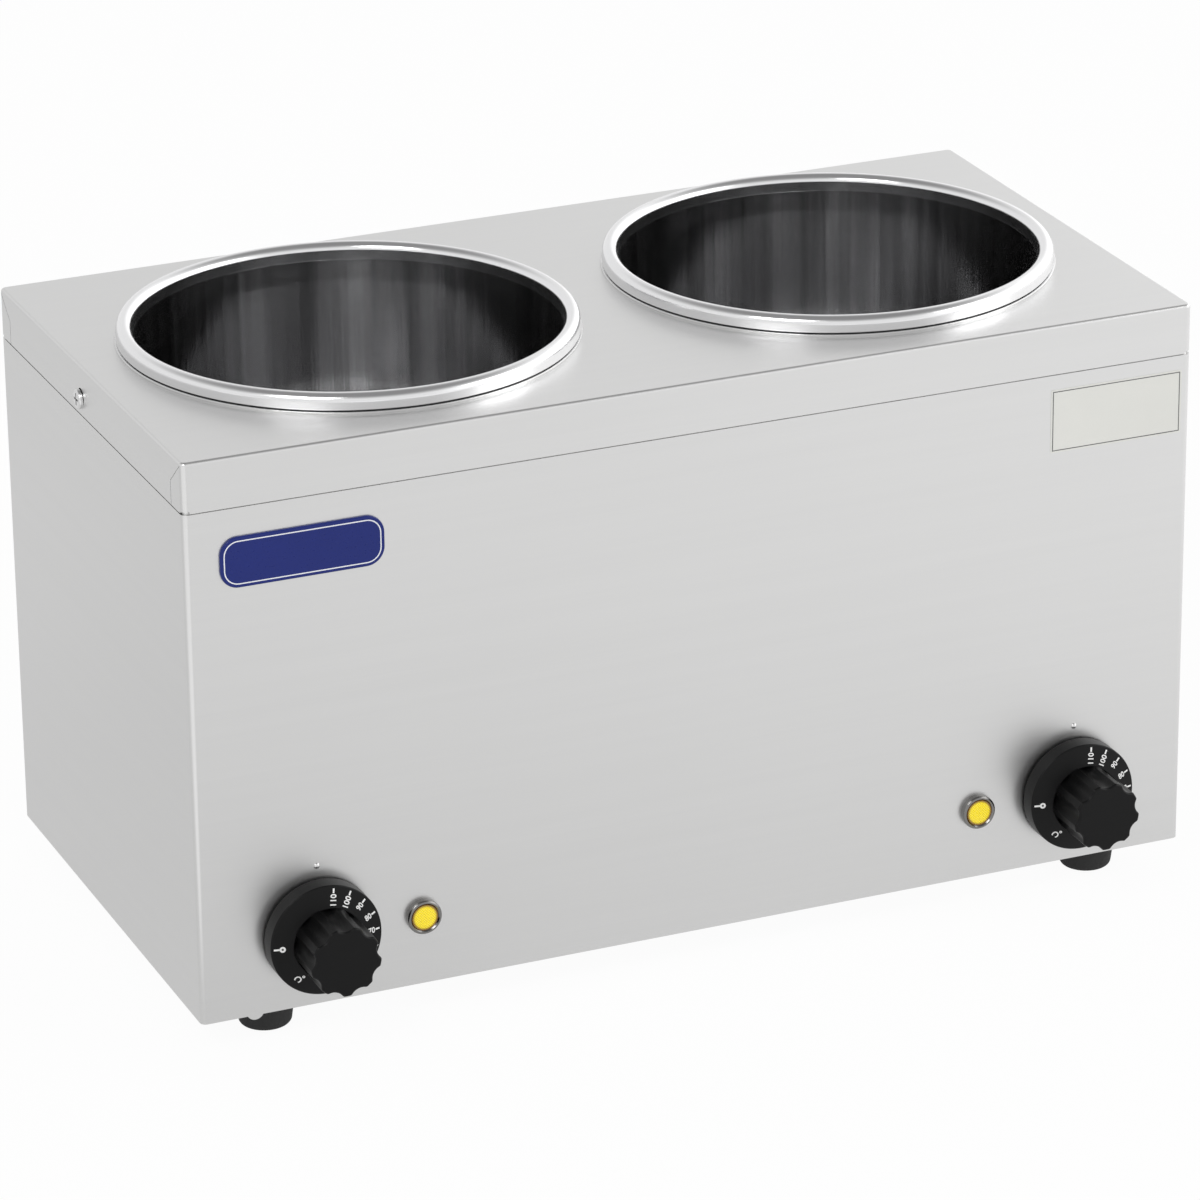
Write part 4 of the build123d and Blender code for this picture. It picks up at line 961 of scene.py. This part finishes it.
@dataclass
class DialKnob(PanelPiece):
    """A thermostat knob: dark skirt, sloping printed dial and deep scalloped grip.

    The dial's lip is given as steps out from the dial's inner edge and down from its top.
    """

    skirt_radius: float = 28.0
    skirt_low: float = 1.5
    skirt_top: float = 10.7
    skirt_edge: float = 0.8
    skirt_chamfer: float = 0.3
    hollow_radius: float = 26.0
    hollow_top: float = 8.7
    hollow_chamfer: float = 0.2
    hub_radius: float = 6.5
    hub_low: float = 2.5
    dial_radius: float = 17.2
    dial_top: float = 13.3
    dial_lip: tuple[tuple[float, float], ...] = ((0.35, 0.08), (0.05, 0.1), (0.0, 0.4))
    grip_radius: float = 17.7
    grip_end: float = 38.0
    grip_edge: float = 1.2
    grip_sink: float = 0.6
    lobes: int = 9
    scoop_radius: float = 6.0
    scoop_depth: float = 2.0
    scoop_sharpness: float = 3.2
    scoop_blend: float = 0.6
    lobe_facets: int = 20
    top_figure: int = 110
    low_figure: int = 30
    figure_step: int = 10
    figure_height: float = 3.1
    figure_advance: float = 1.95
    figure_gap: float = 0.35
    figures_end: float = 24.2
    tick_gap: float = 0.25
    tick_end: float = 26.7
    tick_width: float = 0.85
    print_height: float = 0.08
    first_mark: float = 9.0
    mark_step: float = 19.4
    unit_mark: float = 222.0
    unit_radius: float = 19.6
    unit_size: tuple[float, float] = (4.6, 3.9)
    off_mark: float = 270.0
    off_radius: float = 22.6
    off_ring: tuple[float, float] = (0.55, 1.5)
    off_tick: tuple[float, float] = (23.9, 26.8)
    off_width: float = 0.9

    @property
    def body(self) -> Body:
        """The body that the knob turns with."""
        return Body[f"{self.side.name}_CONTROL"]

    @property
    def slope(self) -> float:
        """How steeply the dial face falls outwards, in radians."""
        return math.atan2(self.dial_top - self.skirt_top, self.skirt_radius - self.dial_radius)

    def skirt(self) -> Shape:
        """Turns the hollow skirt, the dial face and the hub behind it."""
        rim_z = self.skirt_top - self.skirt_edge
        outer, inner = self.skirt_radius, self.hollow_radius
        pen = Pen(0, self.hub_low).to(self.hub_radius, self.hub_low)
        pen.to(self.hub_radius, self.hollow_top).to(inner, self.hollow_top)
        pen.to(inner, self.skirt_low + self.hollow_chamfer)
        pen.to(inner + self.hollow_chamfer, self.skirt_low)
        pen.to(outer - self.skirt_chamfer, self.skirt_low)
        pen.to(outer, self.skirt_low + self.skirt_chamfer).to(outer, rim_z)
        pen.arc(outer - self.skirt_edge, rim_z, 90 - math.degrees(self.slope), 5)
        for out, down in self.dial_lip:
            pen.to(self.dial_radius + out, self.dial_top - down)
        pen.to(self.dial_radius, self.skirt_top).to(0, self.skirt_top)
        return pen.turn(128)

    def scoop_at(self, degrees: float) -> float:
        """How far out the grip's side lies at an angle from a scoop's middle.

        Args:
            degrees: The angle round the grip.

        Returns:
            The radius at the grip's foot.
        """
        apart = 360 / self.lobes
        off = math.radians((degrees + apart / 2) % apart - apart / 2)
        centre = self.grip_radius + self.scoop_radius - self.scoop_depth
        reach = centre * math.sin(off)
        if abs(reach) >= self.scoop_radius:
            return self.grip_radius
        inner = centre * math.cos(off) - math.sqrt(self.scoop_radius**2 - reach**2)
        low = min(inner, self.grip_radius)
        gap = abs(inner - self.grip_radius)
        blend = math.exp(-self.scoop_sharpness * gap) / self.scoop_sharpness
        return low - blend * self.scoop_blend

    def grip(self) -> Shape:
        """Extrudes the scalloped grip and rounds its front edge."""
        shape = bmesh.new()
        count = self.lobes * self.lobe_facets
        foot = self.skirt_top - self.grip_sink
        rise = self.grip_end - foot
        drawn = bmesh.ops.create_circle(
            shape, cap_ends=True, segments=count, radius=self.grip_radius
        )
        for vert in drawn["verts"]:
            degrees = math.degrees(math.atan2(vert.co.x, vert.co.y))
            vert.co = vert.co.normalized() * self.scoop_at(degrees)
            vert.co.z = foot
        raise_faces(shape, rise)
        rim = [e for e in shape.edges if all(v.co.z > foot + rise / 2 for v in e.verts)]
        round_off(shape, rim, self.grip_edge, 5, clamp=True)
        bmesh.ops.recalc_face_normals(shape, faces=shape.faces)
        return shape

    def lay(self, shape: Shape, degrees: float, radius: float) -> Shape:
        """Lays a mark on the sloping dial so that it runs outwards.

        Args:
            shape: The mark, running along X with its face up.
            degrees: Clockwise from the top.
            radius: Where the mark's own origin goes.

        Returns:
            The mark, on the knob's own axis.
        """
        angle = math.radians(90 - degrees)
        height = self.dial_top - (radius - self.dial_radius) * math.tan(self.slope)
        place = (
            Matrix.Rotation(angle, 4, "Z")
            @ Matrix.Translation((radius, 0, height))
            @ Matrix.Rotation(self.slope, 4, "Y")
        )
        bmesh.ops.transform(shape, matrix=place, verts=shape.verts)
        return shape

    def tick(self, degrees: float, start: float, end: float, width: float) -> Shape:
        """A short printed line across the dial.

        Args:
            degrees: Clockwise from the top.
            start: Radius of its inner end.
            end: Radius of its outer end.
            width: Its width.

        Returns:
            The tick on the knob's own axis.
        """
        line = plate_of(rectangle(end - start, width, 0), self.print_height)
        shift(line, (end - start) / 2, 0, 0)
        return self.lay(line, degrees, start)

    def marks(self) -> Shape:
        """Prints the scale, its unit and the off mark."""
        high, thick = self.figure_height, self.print_height
        tick_start = self.figures_end + self.tick_gap
        printed = []
        values = range(self.top_figure, self.low_figure - 1, -self.figure_step)
        for count, value in enumerate(values):
            words = str(value)
            degrees = self.first_mark + count * self.mark_step
            length = len(words) * self.figure_advance - self.figure_gap
            text = figures(words, length, high, thick)
            printed.append(self.lay(text, degrees, self.figures_end - length))
            printed.append(self.tick(degrees, tick_start, self.tick_end, self.tick_width))
        unit = figures("°C", *self.unit_size, thick)
        printed.append(self.lay(unit, self.unit_mark, self.unit_radius))
        small, large = self.off_ring
        ring = Pen(small, 0).to(large, 0).to(large, thick).to(small, thick)
        printed.append(self.lay(ring.close().turn(32), self.off_mark, self.off_radius))
        printed.append(self.tick(self.off_mark, *self.off_tick, self.off_width))
        return join(printed)

    def build(self) -> None:
        """Makes the knob and its print."""
        node = f"{self.side.word}_knob"
        finish_shape(
            self.seat(join([self.skirt(), self.grip()])),
            f"{self.side.word}_dial_knob",
            Palette.KNOB,
            self.body,
            [node],
        )
        finish_shape(
            self.seat(self.marks()), f"{self.side.word}_dial_print", Palette.PRINT, self.body
        )


@dataclass
class PilotLamp(PanelPiece):
    """A pilot lamp: plated ring with a faceted yellow lens in it."""

    centre_x: float = 147.0
    centre_z: float = 51.7
    ring_radius: float = 8.7
    ring_reach: float = 3.6
    ring_round: float = 1.2
    ring_bore: float = 6.05
    ring_flat: float = 7.35
    ring_chamfer: float = 0.8
    lens_gap: float = 0.05
    lens_radius: float = 6.6
    lens_edge: float = 3.1
    lens_seat: float = 0.6
    facet: float = 1.35
    facet_depth: float = 0.35
    facets_from: float = 0.01

    def ring(self) -> Shape:
        """Turns the ring, rounded outside and chamfered towards the lens."""
        seat_r = self.lens_radius + self.lens_gap
        round_r = self.ring_radius - self.ring_round
        round_z = self.ring_reach - self.ring_round
        pen = Pen(self.ring_bore, 0).to(self.ring_radius, 0).to(self.ring_radius, round_z)
        pen.arc(round_r, round_z, 90, 8).to(self.ring_flat, self.ring_reach)
        pen.to(seat_r, self.ring_reach - self.ring_chamfer).to(seat_r, self.lens_seat)
        return pen.to(self.ring_bore, self.lens_seat).close().turn(96)

    def lens(self) -> Shape:
        """Turns the domed lens and presses crossed facets into its face."""
        rise = self.ring_reach - self.lens_edge
        dome = (self.lens_radius**2 + rise**2) / (2 * rise)
        half = math.degrees(math.asin(self.lens_radius / dome))
        pen = Pen(0, self.lens_seat).to(self.lens_radius, self.lens_seat)
        pen.to(self.lens_radius, self.lens_edge)
        pen.arc(0, self.ring_reach - dome, half, 22)
        pen.last.co.x = 0
        shape = pen.turn(144)
        for vert in shape.verts:
            if vert.co.z > self.lens_edge + self.facets_from:
                first = (vert.co.x + vert.co.y) / self.facet % 1.0
                second = (vert.co.x - vert.co.y) / self.facet % 1.0
                vert.co.z -= self.facet_depth * (abs(first - 0.5) + abs(second - 0.5))
        bmesh.ops.recalc_face_normals(shape, faces=shape.faces)
        return shape

    def build(self) -> None:
        """Makes the ring and the lens."""
        word = self.side.word
        finish_shape(
            self.seat(self.ring()),
            f"{word}_lamp_ring",
            Palette.CHROME,
            replaced=[f"{word}_lamp_bezel"],
        )
        finish_shape(
            self.seat(self.lens()),
            f"{word}_lamp_glass",
            Palette.LENS,
            replaced=[f"{word}_lamp_lens"],
            bend_degrees=12.0,
        )


@dataclass
class FrontPlates:
    """The plain blue badge and the plain label on the front panel."""

    panel_y: float = -125.5
    badge_x: float = -202.5
    badge_z: float = 248.0
    badge_size: tuple[float, float, float] = (81.0, 25.0, 1.4)
    badge_corner: float = 9.0
    badge_edge: float = 0.6
    keyline_inset: float = 1.7
    keyline_width: float = 0.55
    label_x: float = 219.5
    label_z: float = 250.8
    label_size: tuple[float, float, float] = (71.0, 32.5, 0.2)
    label_corner: float = 0.8
    border_inset: float = 0.9
    border_width: float = 0.45
    print_height: float = 0.05

    def border(
        self, size: tuple[float, float, float], corner: float, inset: float, line: float
    ) -> Shape:
        """A printed line inside a plate's border.

        Args:
            size: The plate's width, height and thickness.
            corner: The line's corner radius.
            inset: How far in it runs.
            line: Its width.

        Returns:
            The line, facing the front, its back just inside the plate's face.
        """
        width, height, thickness = size
        flat = rectangle(width - 2 * inset, height - 2 * inset, corner)
        printed = face_front(line_frame(flat, line, self.print_height * 2))
        return shift(printed, 0, self.panel_y - thickness + self.print_height, 0)

    def badge(self) -> None:
        """Makes the enamelled badge with its keyline."""
        width, height, thickness = self.badge_size
        flat = rectangle(width, height, self.badge_corner)
        plate = face_front(plate_of(flat, thickness, self.badge_edge))
        shift(plate, self.badge_x, self.panel_y, self.badge_z)
        finish_shape(
            plate, "badge_enamel", Palette.ENAMEL, replaced=["badge_plate"]
        )
        inset = self.keyline_inset
        corner = self.badge_corner - inset
        line = self.border(self.badge_size, corner, inset, self.keyline_width)
        shift(line, self.badge_x, 0, self.badge_z)
        finish_shape(line, "badge_keyline", Palette.KEYLINE)

    def label(self) -> None:
        """Makes the blank label with its printed border."""
        width, height, thickness = self.label_size
        film = face_front(plate_of(rectangle(width, height, self.label_corner, 4), thickness))
        shift(film, self.label_x, self.panel_y, self.label_z)
        finish_shape(
            film, "label_film", Palette.FILM, replaced=["blank_label"]
        )
        line = self.border(self.label_size, 0, self.border_inset, self.border_width)
        shift(line, self.label_x, 0, self.label_z)
        finish_shape(line, "label_border", Palette.GREY_INK)

    def build(self) -> None:
        """Makes both plates."""
        self.badge()
        self.label()


@dataclass
class Feet:
    """Four tapered rubber feet with a recess for the screw.

    The collar's groove is given as steps in from the top radius and down from the top.
    """

    across: float = 220.0
    middle_y: float = 8.0
    along: float = 110.0
    low_radius: float = 13.0
    top_radius: float = 14.8
    height: float = 17.0
    edge: float = 3.0
    flank_degrees: float = 84.0
    collar: tuple[tuple[float, float], ...] = ((0.35, 3.0), (0.6, 2.7), (0.6, 2.3), (0.0, 2.0))
    recess_radius: float = 4.8
    recess_height: float = 6.0
    recess_chamfer: float = 0.4
    bore_radius: float = 2.6

    def foot(self) -> Shape:
        """Turns one foot with a rounded lower edge and a small collar groove."""
        pen = Pen(self.recess_radius + self.recess_chamfer, 0)
        pen.to(self.low_radius - self.edge, 0)
        pen.arc(self.low_radius - self.edge, self.edge, self.flank_degrees, 8)
        for inward, down in self.collar:
            pen.to(self.top_radius - inward, self.height - down)
        pen.to(self.top_radius, self.height).to(self.bore_radius, self.height)
        pen.to(self.bore_radius, self.recess_height).to(self.recess_radius, self.recess_height)
        pen.to(self.recess_radius, self.recess_chamfer)
        return pen.close().turn(72)

    def build(self) -> None:
        """Makes the four feet as one piece."""
        feet = [
            shift(self.foot(), side * self.across, self.middle_y + end * self.along, 0)
            for side in (-1, 1)
            for end in (-1, 1)
        ]
        finish_shape(
            join(feet),
            "moulded_feet",
            Palette.RUBBER,
            replaced=["rubber_feet"],
        )


@dataclass
class CarriedParts:
    """CAD nodes that are shown as they are, with their finishes."""

    finishes: tuple[tuple[Finish, str], ...] = (
        (Palette.SEAL, "heater_gaskets"),
        (
            Palette.BRASS,
            "heater_bushings heater_nuts thermostat_blades lamp_blades earth_stud earth_nuts"
            " push_on_terminals",
        ),
        (Palette.CERAMIC, "heater_beads"),
        (
            Palette.ZINC,
            "heater_pins thermostat_screws left_spindle right_spindle foot_screws foot_washers"
            " foot_nuts cover_nuts block_fixings block_screws earth_ring bulb_clips crimp_sleeves",
        ),
        (Palette.PHENOLIC, "left_thermostat right_thermostat"),
        (Palette.NYLON, "lamp_barrels lamp_nuts"),
        (Palette.GLAND, "gland_locknut"),
        (Palette.BLOCK, "terminal_block"),
    )

    def build(self) -> None:
        """Gives every carried node its finish."""
        for finish, names in self.finishes:
            for name in names.split():
                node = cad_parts[name]
                node.data.materials.clear()
                node.data.materials.append(finish.material())
                log.info("%s carried in %s", name, finish.name)


# ------------------------------------------------------------------------------- the studio


@dataclass
class Studio:
    """A plain white room: floor, soft lamps, world and the photograph's camera."""

    picture: float = 1200.0
    focal: float = 6154.445
    sensor: float = 36.0
    yaw: float = -0.398047
    pitch: float = 0.389568
    roll: float = -0.0111638
    place: tuple[float, float, float] = (-1.09785, -2.60894, 1.30427)
    floor_half: float = 14.0
    floor_shade: float = 0.88
    floor_seen_glow: float = 0.95
    floor_mirrored_glow: float = 0.86
    # Painted light on the mirrored floor: darker to the left, brighter to the right.
    left_level: float = 0.80
    right_level: float = 1.16
    across: tuple[float, float] = (-1.0, 1.2)
    # Painted shadow on the mirrored floor round the case's foot.
    foot_level: float = 0.90
    foot_half: tuple[float, float] = (0.26, 0.13)
    foot_fade: float = 0.5
    # Painted highlight on the mirrored floor, which the case's front-left corner bend reflects.
    corner_level: float = 1.4
    corner_at: tuple[float, float] = (-0.28, -0.16)
    corner_fade: float = 0.08
    room_level: float = 0.94
    window_level: float = 1.75
    window_from: tuple[float, float] = (0.30, 0.85)
    zenith_level: float = 0.30
    zenith_from: tuple[float, float] = (0.42, 0.95)
    lamp_aim: tuple[float, float, float] = (0.0, 0.0, 0.15)
    softboxes: tuple[tuple[str, tuple[float, float, float], float, float], ...] = (
        ("key_softbox", (-1.7, -1.5, 2.3), 1.2, 22.0),
        ("fill_softbox", (2.0, -1.2, 1.5), 1.4, 9.0),
    )

    def camera(self) -> None:
        """Puts the camera where the photograph was taken from."""
        data = bpy.data.cameras.new("photo_camera")
        data.sensor_width = self.sensor
        data.lens = self.focal / self.picture * self.sensor
        data.clip_start, data.clip_end = 0.05, 100.0
        camera = bpy.data.objects.new("photo_camera", data)
        bpy.context.scene.collection.objects.link(camera)
        sin_a, cos_a = math.sin(self.yaw), math.cos(self.yaw)
        sin_e, cos_e = math.sin(self.pitch), math.cos(self.pitch)
        ahead = Vector((-sin_a * cos_e, cos_a * cos_e, -sin_e))
        right = Vector((cos_a, sin_a, 0))
        above = right.cross(ahead)
        turned_right = right * math.cos(self.roll) + above * math.sin(self.roll)
        turned_above = above * math.cos(self.roll) - right * math.sin(self.roll)
        axes = Matrix((turned_right, turned_above, -ahead)).transposed()
        camera.matrix_world = Matrix.Translation(self.place) @ axes.to_4x4()
        bpy.context.scene.camera = camera

    def grey(self, level: float) -> Colour:
        """A neutral colour of a level."""
        return (level, level, level)

    def floor(self) -> None:
        """Lays the pale floor, white to the eye but for the object's shadow; in reflections it
        carries painted light, brighter to the right, with a painted shadow round the case's foot
        and a painted highlight off its front-left corner.
        """
        shape = bmesh.new()
        bmesh.ops.create_grid(shape, x_segments=1, y_segments=1, size=self.floor_half)
        mesh = bpy.data.meshes.new("floor")
        shape.to_mesh(mesh)
        shape.free()
        made = bpy.data.materials.new("white_floor")
        made.use_nodes = True
        recipe = Recipe(made.node_tree)
        grain = recipe.noise((2.0, 2.0, 2.0))
        shade = self.floor_shade
        pale = recipe.mix(grain, self.grey(shade), self.grey(shade + 0.02))
        matt = recipe.node("ShaderNodeBsdfDiffuse", inputs={"Color": pale})
        seen = recipe.node("ShaderNodeLightPath", output="Is Camera Ray")
        shining = recipe.node("ShaderNodeLightPath", output="Is Glossy Ray")
        x, y, _ = recipe.spot()
        away = (abs(x) - self.foot_half[0]).larger(abs(y) - self.foot_half[1])
        # Painted light in what the case mirrors: a gradient from left to right, a painted shadow
        # round the case's foot and a painted highlight off its front-left corner.
        left, right = self.grey(self.left_level), self.grey(self.right_level)
        across = recipe.mix(x.step(*self.across), left, right)
        near = recipe.mix(
            away.step(0.0, self.foot_fade), self.grey(self.foot_level), self.grey(1.0)
        )
        painted_highlight_x, painted_highlight_y = self.corner_at
        aside = (painted_highlight_x - x).step(0.0, self.corner_fade)
        ahead = (painted_highlight_y - y).step(0.0, self.corner_fade)
        painted_shade_and_highlight = recipe.mix(aside * ahead, near, self.grey(self.corner_level))
        mirrored = recipe.node(
            "ShaderNodeVectorMath", {"operation": "MULTIPLY"}, {0: across, 1: painted_shade_and_highlight}
        )
        level = recipe.mix(seen, mirrored, self.grey(1.0))
        glow = recipe.node("ShaderNodeEmission", inputs={"Color": level})
        share = seen * self.floor_seen_glow + shining * self.floor_mirrored_glow
        surface = recipe.node("ShaderNodeMixShader", inputs={0: share, 1: matt, 2: glow})
        recipe.node("ShaderNodeOutputMaterial", inputs={"Surface": surface})
        mesh.materials.append(made)
        plane = bpy.data.objects.new("floor", mesh)
        bpy.context.scene.collection.objects.link(plane)

    def world(self) -> None:
        """Makes the room white to the eye and darker overhead in reflections."""
        world = bpy.data.worlds.new("white_room")
        bpy.context.scene.world = world
        world.use_nodes = True
        recipe = Recipe(world.node_tree)
        toward = recipe.node("ShaderNodeTexCoord", output="Generated")
        height = recipe.node("ShaderNodeSeparateXYZ", inputs={0: toward}, output=2)
        sideways = recipe.node("ShaderNodeSeparateXYZ", inputs={0: toward}, output=0)
        window = sideways.step(*self.window_from)
        walls = recipe.mix(window, self.grey(self.room_level), self.grey(self.window_level))
        room = recipe.mix(height.step(*self.zenith_from), walls, self.grey(self.zenith_level))
        seen = recipe.node("ShaderNodeLightPath", output="Is Camera Ray")
        colour = recipe.mix(seen, room, self.grey(1.0))
        light = recipe.node("ShaderNodeBackground", inputs={"Color": colour, "Strength": 1.0})
        recipe.node("ShaderNodeOutputWorld", inputs={"Surface": light})

    def lamp(self, name: str, place: Sequence[float], size: float, power: float) -> None:
        """Hangs one soft lamp.

        Args:
            name: The lamp's name.
            place: Where it hangs.
            size: Its width and height.
            power: Its power in watts.
        """
        data = bpy.data.lights.new(name, "AREA")
        data.shape = "RECTANGLE"
        data.size, data.size_y = size, size
        data.energy = power
        lamp = bpy.data.objects.new(name, data)
        lamp.location = place
        toward = Vector(self.lamp_aim) - Vector(place)
        lamp.rotation_euler = toward.to_track_quat("-Z", "Y").to_euler()
        bpy.context.scene.collection.objects.link(lamp)

    def build(self) -> None:
        """Sets up the whole studio."""
        self.camera()
        self.floor()
        self.world()
        for softbox in self.softboxes:
            self.lamp(*softbox)
        bpy.context.scene.view_settings.view_transform = "Standard"


def main() -> None:
    """Builds the bain-marie piece by piece, then the studio round it."""
    logging.basicConfig(level=logging.INFO, format="%(name)s: %(message)s")
    Studio().build()
    SmoothedParts().build()
    CarriedParts().build()
    for side in Side:
        for piece in (WaterWell, SoupPot, DialKnob, PilotLamp):
            piece(side).build()
    FrontPlates().build()
    Feet().build()


if __name__ == "__main__":
    main()
